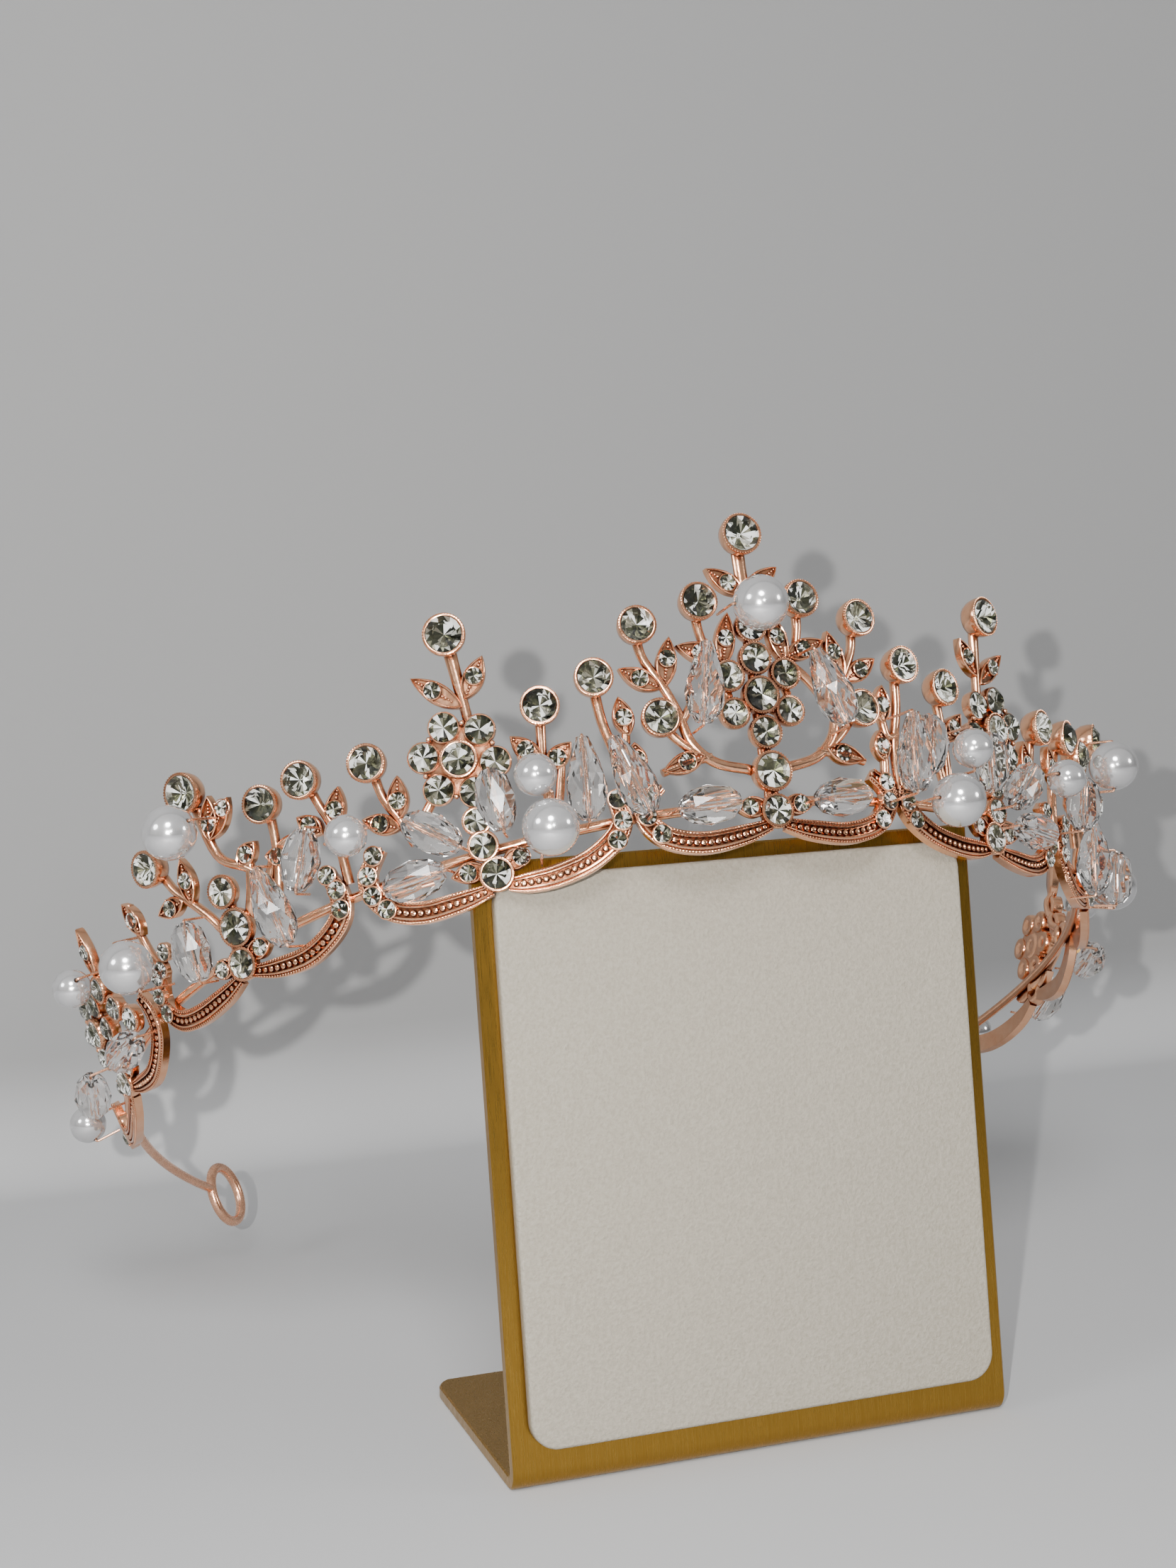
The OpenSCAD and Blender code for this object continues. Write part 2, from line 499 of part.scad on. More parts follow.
// A bead's wire: through the hole, and down at both ends to the metal.
module staple(p, l) {
  half = l / 2 + wire_over;
  r = bead_wire_d / 2;
  ring = [for (k = [0 : 4]) [r * cos(k * 72), r * sin(k * 72)]];
  points = concat(
    [for (q = ring) [q.x - half, q.y, p[LEG_A] - p[DEPTH]]],
    [for (q = ring) [q.x - half, q.y, -q.x]],
    [for (q = ring) [half - q.x, q.y, -q.x]],
    [for (q = ring) [half - q.x, q.y, p[LEG_B] - p[DEPTH]]]);
  walls = [for (i = [0 : 2]) for (j = [0 : 4])
    [i * 5 + j, (i + 1) * 5 + j, (i + 1) * 5 + (j + 1) % 5, i * 5 + (j + 1) % 5]];
  at(p[ALONG] * pitch, p[UP] * crest_h, p[DEPTH]) rotate(p[TURN])
    polyhedron(points, concat(walls, [[0, 1, 2, 3, 4], [19, 18, 17, 16, 15]]));
}

module bead_wires() {
  color(gold) worn() {
    staple(centre_pearl, pearl_d);
    for (q = LARGE_PEARLS, p = q) staple(p, pearl_d);
    for (q = SMALL_PEARLS, p = q) staple(p, small_pearl_d);
    for (q = CRYSTALS, p = q) staple(p, p[DROP] == 1 ? drop_l : barrel_l);
  }
}

// The stand: a leaning panel and a foot bent from one sheet, drawn from the side.
module stand() {
  outer = bend_r + sheet_t;
  bend_y = outer * (1 + sin(lean)) / cos(lean);
  steps = 10;
  corner = 3;
  top = panel_l * [sin(lean), cos(lean)];
  outside = [for (i = [0 : steps])
    let (v = -90 - i * (90 + lean) / steps) [bend_y + outer * cos(v), outer + outer * sin(v)]];
  inside = [for (i = [steps : -1 : 0])
    let (v = -90 - i * (90 + lean) / steps) [bend_y + bend_r * cos(v), outer + bend_r * sin(v)]];
  color(brass) translate([0, -foot_mid, 0]) difference() {
    rotate([90, 0, 90]) linear_extrude(stand_w, center = true)
      polygon(concat([[foot_l, 0]], outside, [top, top + sheet_t * [cos(lean), -sin(lean)]], inside,
        [[foot_l, sheet_t]]));
    for (g = SIDES)
      translate([g * stand_w / 2, foot_l, 0]) difference() {
        cube(2 * corner, center = true);
        translate([-g * corner, -corner, 0]) cylinder(r = corner, h = 3 * corner, center = true, $fn = 48);
      }
  }
}

module pad() {
  w = stand_w - 2 * pad_side;
  l = panel_l - pad_top - pad_bottom;
  color(ivory) translate([0, -foot_mid, 0]) rotate([-lean, 0, 0])
    translate([0, -joint_gap - pad_t, pad_bottom]) rotate([90, 0, 0]) mirror([0, 0, 1]) union() {
      translate([-w / 2 + pad_r, 0, 0]) cube([w - 2 * pad_r, l, pad_t]);
      translate([-w / 2, pad_r, 0]) cube([w, l - 2 * pad_r, pad_t]);
      for (g = SIDES, v = [pad_r, l - pad_r])
        translate([g * (w / 2 - pad_r), v, 0]) cylinder(r = pad_r, h = pad_t, $fn = 48);
    }
}

module pearl_centre() { pearl(centre_pearl, pearl_d); }
module pearl_left_1() { pearl(LARGE_PEARLS[0][0], pearl_d); }
module pearl_right_1() { pearl(LARGE_PEARLS[0][1], pearl_d); }
module pearl_left_2() { pearl(SMALL_PEARLS[0][0], small_pearl_d); }
module pearl_right_2() { pearl(SMALL_PEARLS[0][1], small_pearl_d); }
module pearl_left_3() { pearl(SMALL_PEARLS[1][0], small_pearl_d); }
module pearl_right_3() { pearl(SMALL_PEARLS[1][1], small_pearl_d); }
module pearl_left_4() { pearl(LARGE_PEARLS[1][0], pearl_d); }
module pearl_right_4() { pearl(LARGE_PEARLS[1][1], pearl_d); }
module pearl_left_5() { pearl(LARGE_PEARLS[2][0], pearl_d); }
module pearl_right_5() { pearl(LARGE_PEARLS[2][1], pearl_d); }
module pearl_left_6() { pearl(SMALL_PEARLS[2][0], small_pearl_d); }
module pearl_right_6() { pearl(SMALL_PEARLS[2][1], small_pearl_d); }
module pearl_left_7() { pearl(SMALL_PEARLS[3][0], small_pearl_d); }
module pearl_right_7() { pearl(SMALL_PEARLS[3][1], small_pearl_d); }
module crystal_left_1() { crystal(CRYSTALS[0][0]); }
module crystal_right_1() { crystal(CRYSTALS[0][1]); }
module crystal_left_2() { crystal(CRYSTALS[1][0]); }
module crystal_right_2() { crystal(CRYSTALS[1][1]); }
module crystal_left_3() { crystal(CRYSTALS[2][0]); }
module crystal_right_3() { crystal(CRYSTALS[2][1]); }
module crystal_left_4() { crystal(CRYSTALS[3][0]); }
module crystal_right_4() { crystal(CRYSTALS[3][1]); }
module crystal_left_5() { crystal(CRYSTALS[4][0]); }
module crystal_right_5() { crystal(CRYSTALS[4][1]); }
module crystal_left_6() { crystal(CRYSTALS[5][0]); }
module crystal_right_6() { crystal(CRYSTALS[5][1]); }
module crystal_left_7() { crystal(CRYSTALS[6][0]); }
module crystal_right_7() { crystal(CRYSTALS[6][1]); }
module crystal_left_8() { crystal(CRYSTALS[7][0]); }
module crystal_right_8() { crystal(CRYSTALS[7][1]); }
module crystal_left_9() { crystal(CRYSTALS[8][0]); }
module crystal_right_9() { crystal(CRYSTALS[8][1]); }
module crystal_left_10() { crystal(CRYSTALS[9][0]); }
module crystal_right_10() { crystal(CRYSTALS[9][1]); }
module crystal_left_11() { crystal(CRYSTALS[10][0]); }
module crystal_right_11() { crystal(CRYSTALS[10][1]); }
module crystal_left_12() { crystal(CRYSTALS[11][0]); }
module crystal_right_12() { crystal(CRYSTALS[11][1]); }

crest();
end_loop_left();
end_loop_right();
ball_stones();
seed_stones();
bead_wires();
crystal_left_1();
crystal_left_10();
crystal_left_11();
crystal_left_12();
crystal_left_2();
crystal_left_3();
crystal_left_4();
crystal_left_5();
crystal_left_6();
crystal_left_7();
crystal_left_8();
crystal_left_9();
crystal_right_1();
crystal_right_10();
crystal_right_11();
crystal_right_12();
crystal_right_2();
crystal_right_3();
crystal_right_4();
crystal_right_5();
crystal_right_6();
crystal_right_7();
crystal_right_8();
crystal_right_9();
pearl_centre();
pearl_left_1();
pearl_left_2();
pearl_left_3();
pearl_left_4();
pearl_left_5();
pearl_left_6();
pearl_left_7();
pearl_right_1();
pearl_right_2();
pearl_right_3();
pearl_right_4();
pearl_right_5();
pearl_right_6();
pearl_right_7();
stand();
pad();
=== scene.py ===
import bpy
import numpy as np
from math import cos, sin, pi, radians
from mathutils import Matrix, Vector


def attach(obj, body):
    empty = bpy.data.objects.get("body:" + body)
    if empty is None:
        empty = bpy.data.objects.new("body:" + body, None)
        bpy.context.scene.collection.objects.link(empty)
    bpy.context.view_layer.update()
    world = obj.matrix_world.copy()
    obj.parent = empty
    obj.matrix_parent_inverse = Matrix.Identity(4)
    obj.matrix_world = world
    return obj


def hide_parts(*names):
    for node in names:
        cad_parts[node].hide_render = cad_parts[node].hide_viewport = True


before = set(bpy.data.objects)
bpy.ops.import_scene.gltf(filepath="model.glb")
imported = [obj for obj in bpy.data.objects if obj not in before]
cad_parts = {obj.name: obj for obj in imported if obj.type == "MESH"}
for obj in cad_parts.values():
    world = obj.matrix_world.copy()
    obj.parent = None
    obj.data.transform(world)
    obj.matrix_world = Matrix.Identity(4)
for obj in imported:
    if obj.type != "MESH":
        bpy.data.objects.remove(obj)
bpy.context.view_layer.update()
print("frame loaded")

mm = 0.001
sides = (-1, 1)  # left, right
chance = np.random.default_rng(7)

band = {
    "frontR": 89, "sideR": 69, "rearR": 94,      # radii at the forehead, temples and ears
    "frontArc": 60, "sideArc": 120,              # where each arc ends, along the band
    "flare": 17.3, "pitch": 41.2, "crestH": 41.3,
    "front": 0.25,                               # the cast plate's front
}
worn = {"slope": 36.6, "yaw": 3.1, "tilt": 1.3, "x": 4.2, "back": 8.55, "up": 4.81}  # how it hangs
stand = {
    "width": 77.4, "panel": 88.7, "lean": 8, "foot": 41.3, "sheet": 2, "bend": 1,
    "corner": 3, "edge": 0.25,
}
footMid = stand["foot"] / 2
view = {
    "lens": 54.93, "sensor": 36, "turn": 19.1, "drop": 7.66, "roll": -1.44, "away": 325,
    "x": -25.3, "z": 99.7, "clip": (0.01, 20),
}


def aimCamera():
    turn, drop, roll = (radians(view[k]) for k in ("turn", "drop", "roll"))
    ahead = Vector((sin(turn) * cos(drop), cos(turn) * cos(drop), -sin(drop)))
    across = Vector((cos(turn), -sin(turn), 0))
    upward = across.cross(ahead)
    x = across * cos(roll) + upward * sin(roll)
    y = upward * cos(roll) - across * sin(roll)
    data = bpy.data.cameras.new("camera")
    data.lens, data.sensor_width = view["lens"], view["sensor"]
    data.clip_start, data.clip_end = view["clip"]
    camera = bpy.data.objects.new("camera", data)
    place = (Vector((view["x"], -footMid, view["z"])) - ahead * view["away"]) * mm
    camera.matrix_world = Matrix.Translation(place) @ Matrix((x, y, -ahead)).transposed().to_4x4()
    bpy.context.scene.collection.objects.link(camera)
    bpy.context.scene.camera = camera


aimCamera()


# Each finish: its two tints and two roughnesses, the marks between which a grain mixes them, the scale of
# each grain, and relief as strength and height in millimetres.
looks = {
    "roseGold": {
        "tints": ((0.86, 0.43, 0.24), (0.97, 0.56, 0.35)), "marks": (0.3, 0.7), "mottle": 500,
        "rough": (0.12, 0.24), "roughMarks": (0.3, 0.7), "wear": 1500, "dimple": 1100, "relief": (0.3, 0.09),
        # painted shade in the nooks: what the tint is multiplied by, their size, and the marks
        "nookShade": (0.3, 0.165, 0.11, 1), "nookShadeSize": 1.2, "nookShadeMarks": (0.42, 0.93), "nookShadeRays": 6},
    "wireGold": {
        "tints": ((0.8, 0.42, 0.26), (0.92, 0.53, 0.35)), "marks": (0.3, 0.7), "mottle": 700,
        "rough": (0.2, 0.32), "roughMarks": (0.3, 0.7), "wear": 2500, "dimple": 5000, "relief": (0.1, 0.03)},
    "paintedGlintFoil": {
        # painted reflections: the foil's tint from dark to white by each facet's painted glint, and less
        # metal where bright
        "tints": [(0, (0.022, 0.026, 0.011)), (0.42, (0.145, 0.145, 0.08)), (0.64, (0.46, 0.44, 0.34)),
                  (0.9, (1, 1, 0.97))],
        "metal": [(0.5, (1, 1, 1)), (0.8, (0.35, 0.35, 0.35))],
        # painted sparks: the brightest facets glow with emission of this strength
        "paintedSpark": [(0.78, (0, 0, 0)), (0.95, (1, 1, 1))], "paintedSparkGlow": 0.9},
    "crystalGlass": {
        "tints": ((0.97, 0.935, 0.91), (1, 0.985, 0.97)), "marks": (0.35, 0.65), "mottle": 300,
        "rough": (0, 0.02), "roughMarks": (0.4, 0.7), "wear": 900},
    "pearlCoat": {
        "tints": ((0.52, 0.52, 0.525), (0.62, 0.615, 0.62)), "marks": (0.3, 0.7), "mottle": 260,
        "rough": (0.13, 0.22), "roughMarks": (0.3, 0.7), "wear": 900},
    "brushedBrass": {
        "tints": ((0.31, 0.17, 0.028), (0.36, 0.206, 0.04)), "marks": (0.35, 0.65),
        "rough": (0.33, 0.25), "roughMarks": (0.3, 0.7), "streak": (9000, 1500, 70), "relief": (0.04, 0.03)},
    "ivoryGrain": {
        "tints": ((0.222, 0.2, 0.158), (0.264, 0.241, 0.196)), "marks": (0.35, 0.65),
        "pebble": 1800, "relief": (0.7, 0.3)},
}


# A new material, with the shader's own sockets set.
def finish(name, inputs):
    material = bpy.data.materials.new(name)
    material.use_nodes = True
    tree = material.node_tree
    shader = tree.nodes["Principled BSDF"]
    for key, value in inputs.items():
        shader.inputs[key].default_value = value
    return material, tree, shader


def node(tree, kind, values=None, **options):
    made = tree.nodes.new(kind)
    for key, value in options.items():
        setattr(made, key, value)
    for key, value in (values or {}).items():
        made.inputs[key].default_value = value
    return made


def grain(tree, scale, stretch=(1, 1, 1), detail=4, roughness=0.6):
    place = node(tree, "ShaderNodeTexCoord")
    size = node(tree, "ShaderNodeMapping", {"Scale": stretch})
    noise = node(tree, "ShaderNodeTexNoise", {"Scale": scale, "Detail": detail, "Roughness": roughness})
    tree.links.new(place.outputs["Object"], size.inputs["Vector"])
    tree.links.new(size.outputs["Vector"], noise.inputs["Vector"])
    return noise.outputs["Fac"]


def ramp(tree, source, stops):
    made = node(tree, "ShaderNodeValToRGB")
    tree.links.new(source, made.inputs["Fac"])
    line = made.color_ramp.elements
    while len(line) < len(stops):
        line.new(0.5)
    for stop, (at, colour) in zip(line, stops):
        stop.position, stop.color = at, (*colour, 1)
    return made.outputs["Color"]


def grey(value):
    return (value, value, value)


def bump(tree, source, strength, height, shader):
    made = node(tree, "ShaderNodeBump", {"Strength": strength, "Distance": height * mm})
    tree.links.new(source, made.inputs["Height"])
    tree.links.new(made.outputs["Normal"], shader.inputs["Normal"])


def tinted(tree, look, source):
    return ramp(tree, source, list(zip(look["marks"], look["tints"])))


def roughened(tree, look, source, shader):
    stops = [(mark, grey(value)) for mark, value in zip(look["roughMarks"], look["rough"])]
    tree.links.new(ramp(tree, source, stops), shader.inputs["Roughness"])


def roseGold():
    look = looks["roseGold"]
    material, tree, shader = finish("roseGold", {"Metallic": 1})
    tint = tinted(tree, look, grain(tree, look["mottle"]))
    # painted shade: ambient occlusion darkens the tint in nooks, creases and the rim's channel
    nookShade = node(tree, "ShaderNodeAmbientOcclusion", {"Distance": look["nookShadeSize"] * mm},
                samples=look["nookShadeRays"])
    tree.links.new(tint, nookShade.inputs["Color"])
    low, high = look["nookShadeMarks"]
    unshadedMask = ramp(tree, nookShade.outputs["AO"], [(low, grey(0)), (high, grey(1))])
    shade = node(tree, "ShaderNodeMix", data_type="RGBA")
    dark = node(tree, "ShaderNodeMix", data_type="RGBA", blend_type="MULTIPLY")
    dark.inputs["Factor"].default_value = 1
    dark.inputs["B"].default_value = look["nookShade"]
    tree.links.new(tint, dark.inputs["A"])
    tree.links.new(unshadedMask, shade.inputs["Factor"])
    tree.links.new(dark.outputs["Result"], shade.inputs["A"])
    tree.links.new(tint, shade.inputs["B"])
    tree.links.new(shade.outputs["Result"], shader.inputs["Base Color"])
    roughened(tree, look, grain(tree, look["wear"]), shader)
    bump(tree, grain(tree, look["dimple"]), *look["relief"], shader)
    return material


def wireGold():
    look = looks["wireGold"]
    material, tree, shader = finish("wireGold", {"Metallic": 1})
    tree.links.new(tinted(tree, look, grain(tree, look["mottle"])), shader.inputs["Base Color"])
    roughened(tree, look, grain(tree, look["wear"]), shader)
    bump(tree, grain(tree, look["dimple"]), *look["relief"], shader)
    return material


# Foil behind a stone with painted glints: each facet is painted lighter or darker by a per-facet attribute,
# with less metal and a painted glow where it is brightest.
def paintedGlintFoil():
    look = looks["paintedGlintFoil"]
    material, tree, shader = finish("paintedGlintFoil", {"Roughness": 0.16, "Emission Strength": look["paintedSparkGlow"]})
    paintedGlint = node(tree, "ShaderNodeAttribute", attribute_name="paintedGlint").outputs["Fac"]
    for key, socket in (("tints", "Base Color"), ("metal", "Metallic"), ("paintedSpark", "Emission Color")):
        tree.links.new(ramp(tree, paintedGlint, look[key]), shader.inputs[socket])
    return material


def stoneGlass():
    return finish("stoneGlass", {"Base Color": (0.97, 0.97, 0.94, 1), "Transmission Weight": 1,
                                 "Roughness": 0.01, "IOR": 1.55})[0]


def crystalGlass():
    look = looks["crystalGlass"]
    material, tree, shader = finish("crystalGlass", {"Transmission Weight": 0.99, "IOR": 1.52})
    tree.links.new(tinted(tree, look, grain(tree, look["mottle"])), shader.inputs["Base Color"])
    roughened(tree, look, grain(tree, look["wear"]), shader)
    return material


def pearlCoat():
    look = looks["pearlCoat"]
    material, tree, shader = finish("pearlCoat", {
        "Metallic": 0.72, "Coat Weight": 1, "Coat Roughness": 0.03, "Coat IOR": 2.1})
    tree.links.new(tinted(tree, look, grain(tree, look["mottle"])), shader.inputs["Base Color"])
    roughened(tree, look, grain(tree, look["wear"]), shader)
    return material


def brushedBrass():
    look = looks["brushedBrass"]
    material, tree, shader = finish("brushedBrass", {"Metallic": 1})
    streak = grain(tree, 1, look["streak"], 3, 0.5)
    tree.links.new(tinted(tree, look, streak), shader.inputs["Base Color"])
    roughened(tree, look, streak, shader)
    bump(tree, streak, *look["relief"], shader)
    return material


def ivoryGrain():
    look = looks["ivoryGrain"]
    material, tree, shader = finish("ivoryGrain", {"Roughness": 0.8})
    pebble = grain(tree, look["pebble"], detail=3)
    tree.links.new(tinted(tree, look, pebble), shader.inputs["Base Color"])
    bump(tree, pebble, *look["relief"], shader)
    return material


finishes = {
    "gold": roseGold(), "wire": wireGold(), "foil": paintedGlintFoil(), "glass": stoneGlass(),
    "crystal": crystalGlass(), "pearl": pearlCoat(), "brass": brushedBrass(), "ivory": ivoryGrain(),
}
print("finishes made")


def turnX(a):
    return np.array(Matrix.Rotation(a, 3, "X"))


def turnY(a):
    return np.array(Matrix.Rotation(a, 3, "Y"))


def turnZ(a):
    return np.array(Matrix.Rotation(a, 3, "Z"))


flare, lean = radians(band["flare"]), radians(stand["lean"])
pitch, crestH = band["pitch"], band["crestH"]
wornTurn = turnZ(radians(worn["yaw"])) @ turnX(-radians(worn["slope"])) @ turnY(radians(worn["tilt"]))
wornAt = np.array([worn["x"], stand["panel"] * sin(lean) - worn["back"] - footMid,
                   stand["panel"] * cos(lean) + worn["up"]])
turn1 = band["frontArc"] / band["frontR"]
turn2 = turn1 + (band["sideArc"] - band["frontArc"]) / band["sideR"]


# Places on the worn tiara are given along the band, up the crest and outward, in millimetres.
def bandPoint(along):
    a = np.abs(along)
    f, m, r = band["frontR"], band["sideR"], band["rearR"]
    x1, y1 = f * sin(turn1), f * (1 - cos(turn1))
    x2, y2 = x1 + m * (sin(turn2) - sin(turn1)), y1 + m * (cos(turn1) - cos(turn2))
    inFront, beside = a < band["frontArc"], a < band["sideArc"]
    t = np.where(inFront, a / f, np.where(beside, turn1 + (a - band["frontArc"]) / m,
                                          turn2 + (a - band["sideArc"]) / r))
    x = np.where(inFront, f * np.sin(t), np.where(beside, x1 + m * (np.sin(t) - sin(turn1)),
                                                  x2 + r * (np.sin(t) - sin(turn2))))
    y = np.where(inFront, f * (1 - np.cos(t)), np.where(beside, y1 + m * (cos(turn1) - np.cos(t)),
                                                        y2 + r * (cos(turn2) - np.cos(t))))
    return x, y, t


def spot(along, up, depth):
    along, up, depth = np.broadcast_arrays(*(np.asarray(v, float) for v in (along, up, depth)))
    x, y, t = bandPoint(along)
    out = depth * cos(flare) + up * sin(flare)
    flat = np.stack([np.where(along < 0, -1, 1) * (x + np.sin(t) * out), y - np.cos(t) * out,
                     up * cos(flare) - depth * sin(flare)], -1)
    return (flat @ wornTurn.T + wornAt) * mm


# A flat seat on the tiara: its turn and its middle.
def seat(along, up, depth, spin=0.0):
    t = float(bandPoint(along)[2]) * (-1 if along < 0 else 1)
    return wornTurn @ turnZ(t) @ turnX(pi / 2 + flare) @ turnZ(spin), spot(along, up, depth)


def onSeat(where, points):
    return np.asarray(points, float) @ where[0].T * mm + where[1]


# Parts are gathered here and become one mesh.
class Tray:
    def __init__(self):
        self.points, self.faces, self.smooth, self.skins, self.glints = [], [], [], [], []
        self.count = 0

    # The sign of a part's volume tells which way its faces have to turn.
    def add(self, points, faces, smooth=True, skins=0, glints=0.5):
        points = np.asarray(points, float).reshape(-1, 3)
        a, b, c = (points[[f[k] for f in faces]] for k in (0, 1, 2))
        d = points[[f[-1] for f in faces]]
        middle = points.mean(0)
        volume = np.einsum("ij,ij->", a - middle, np.cross(b - middle, c - middle))
        volume += np.einsum("ij,ij->", a - middle, np.cross(c - middle, d - middle))
        self.points.append(points)
        self.faces += [[i + self.count for i in (f if volume > 0 else f[::-1])] for f in faces]
        self.smooth += [smooth] * len(faces)
        self.skins += list(skins) if np.iterable(skins) else [skins] * len(faces)
        self.glints += list(glints) if np.iterable(glints) else [glints] * len(faces)
        self.count += len(points)

    def make(self, name, skins, slot, stands=(), angle=40):
        mesh = bpy.data.meshes.new(name)
        mesh.from_pydata(np.vstack(self.points).tolist(), [], self.faces)
        mesh.polygons.foreach_set("use_smooth", self.smooth)
        mesh.polygons.foreach_set("material_index", self.skins)
        # the painted glint lightness of each face, read by the stone foil
        mark = mesh.attributes.new("paintedGlint", "FLOAT", "FACE")
        mark.data.foreach_set("value", self.glints)
        for skin in skins:
            mesh.materials.append(finishes[skin])
        mesh.update()
        if any(self.smooth):
            mesh.set_sharp_from_angle(angle=radians(angle))
        piece = bpy.data.objects.new(name, mesh)
        bpy.context.scene.collection.objects.link(piece)
        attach(piece, "root")
        if stands:
            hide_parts(*stands)
        triangles = sum(len(f) - 2 for f in self.faces)
        print(name, triangles, "triangles")
        return piece


# A flat ring of points. shift turns it, in steps of its own points.
def circle(count, radius, height=0, shift=0):
    angle = (np.arange(count) + shift) * 2 * pi / count
    return np.stack([radius * np.cos(angle), radius * np.sin(angle), np.full(count, height)], -1)


# Faces between rings of the same count, with a cap at each end.
def ringFaces(rings, count):
    faces = []
    for i in range(rings - 1):
        for j in range(count):
            n = (j + 1) % count
            faces.append([i * count + j, i * count + n, (i + 1) * count + n, (i + 1) * count + j])
    faces.append([j for j in range(count)][::-1])
    faces.append([(rings - 1) * count + j for j in range(count)])
    return faces


def addRings(tray, rings):
    rings = np.asarray(rings, float)
    tray.add(rings.reshape(-1, 3), ringFaces(len(rings), rings.shape[1]))


# A turned part: (radius, height) pairs spun round the seat's upright.
def addTurned(tray, where, outline, count=24):
    addRings(tray, [onSeat(where, circle(count, r, z)) for r, z in outline])


# A small dome at a place on a seat.
def addDome(tray, where, at, radius, count=8):
    outline = [(0.9, -0.6), (1, 0), (0.8, 0.6), (0.35, 0.93)]
    addRings(tray, [onSeat(where, circle(count, r, z) * radius + at) for r, z in outline])


# A smooth line through rows of numbers, with so many steps from each to the next.
def smoothLine(rows, cuts):
    rows = np.array(rows, float)
    ends = np.vstack([rows[:1], rows, rows[-1:]])
    made = []
    for i in range(len(rows) - 1):
        a, b, c, d = ends[i:i + 4]
        for t in np.arange(cuts) / cuts:
            made.append(0.5 * (2 * b + (c - a) * t + (2 * a - 5 * b + 4 * c - d) * t ** 2
                               + (3 * b - a - 3 * c + d) * t ** 3))
    return np.array(made + [rows[-1]])


def heading(line):
    step = np.gradient(line[:, :2], axis=0)
    return step / np.linalg.norm(step, axis=1, keepdims=True)


# A strip laid along a line of (along, up, width), its section given as (share of width, outward).
def laid(line, section, depth):
    u = heading(line)
    q, z = np.array(section, float).T
    width = line[:, 2, None]
    return spot(line[:, 0, None] - u[:, 1, None] * q * width, line[:, 1, None] + u[:, 0, None] * q * width,
                np.reshape(depth, (-1, 1)) + z)


# A round wire through points on a seat.
def addTube(tray, where, points, radius, count=8):
    points = np.asarray(points, float)
    step = np.gradient(points, axis=0)
    step /= np.linalg.norm(step, axis=1, keepdims=True)
    side = np.cross(step[0], [0.13, 0.2, 0.97])  # any direction across the first step
    rings, flat = [], circle(count, 1)
    for p, t in zip(points, step):
        side = side - t * (side @ t)
        side /= np.linalg.norm(side)
        rings.append(onSeat(where, p + radius * (flat[:, :1] * side + flat[:, 1:2] * np.cross(t, side))))
    addRings(tray, rings)


# Small round grains along a line on the tiara, half sunk in the metal.
def addGrains(tray, along, up, depth, radius, count):
    along, up = np.asarray(along, float), np.asarray(up, float)
    depth = np.broadcast_to(depth, along.shape)
    radius = np.broadcast_to(radius, along.shape)
    e = 0.05  # a small step each way shows how the seat is turned
    axes = [spot(along + a * e, up + b * e, depth + c * e) - spot(along - a * e, up - b * e, depth - c * e)
            for a, b, c in ((1, 0, 0), (0, 1, 0), (0, 0, 1))]
    axes = np.stack([v / np.linalg.norm(v, axis=-1, keepdims=True) for v in axes], -1)
    outline = [(0.9, -0.5), (1, 0.05), (0.72, 0.7)]
    dome = np.vstack([circle(count, r, z) for r, z in outline] + [[[0, 0, 1]]])
    faces = ringFaces(3, count)[:-1] + [[2 * count + j, 2 * count + (j + 1) % count, 3 * count]
                                       for j in range(count)]
    middles = spot(along, up, depth)
    for m, a, r in zip(middles, axes, radius):
        tray.add(dome @ a.T * r * mm + m, faces)


# The cut of a stone of unit radius, as radius and height of each ring, and the painted glints and painted
# sparks on its foiled back.
stoneCut = {
    "table": (0.54, 0.4), "kite": (0.8, 0.232), "girdle": (0.97, 0.06), "edge": (0.97, -0.02),
    "waist": (0.56, -0.36), "ripple": 0.86, "tip": -0.6, "backFrom": -0.03,
    # painted glints: light and dark wedge values and their random spreads; painted sparks and how often they
    # come
    "wedgeGlints": (0.56, 0.34), "wedgeGlintSpread": 0.4, "facetGlintSpread": 0.42, "stoneGlintSpread": (-0.12, 0.06),
    "paintedSpark": 0.7, "paintedSparkAbove": 0.9,
}


# Skin 0 is its glass crown, skin 1 its foiled back of sixteen wedges.
def cutStone():
    s = stoneCut
    waist = circle(16, *s["waist"])
    waist[::2, 2] *= s["ripple"]
    points = np.vstack([circle(8, *s["table"], 0.5), circle(8, *s["kite"]), circle(16, *s["girdle"]),
                        circle(16, *s["edge"]), waist, [[0, 0, s["tip"]]]])
    a, b, c, d, e, tip = 0, 8, 16, 32, 48, 64
    top, under = [[a + k for k in range(8)]], []
    for k in range(8):
        n = (k + 1) % 8
        c0, c1, c2 = (c + (2 * k + i) % 16 for i in (0, 1, 2))
        top += [[a + k, b + n, a + n], [a + k, b + k, c1], [a + k, c1, b + n]]
        top += [[b + k, c0, c1], [b + n, c1, c2]]
        d0, d1, d2 = (d + (2 * k + i) % 16 for i in (0, 1, 2))
        top += [[c0, d0, d1, c1], [c1, d1, d2, c2]]
        for i in (2 * k, 2 * k + 1):
            j = (i + 1) % 16
            under += [[d + j, d + i, e + i], [d + j, e + i, e + j], [e + j, e + i, tip]]
    return points, top, under


stonePoints, stoneTop, stoneUnder = cutStone()


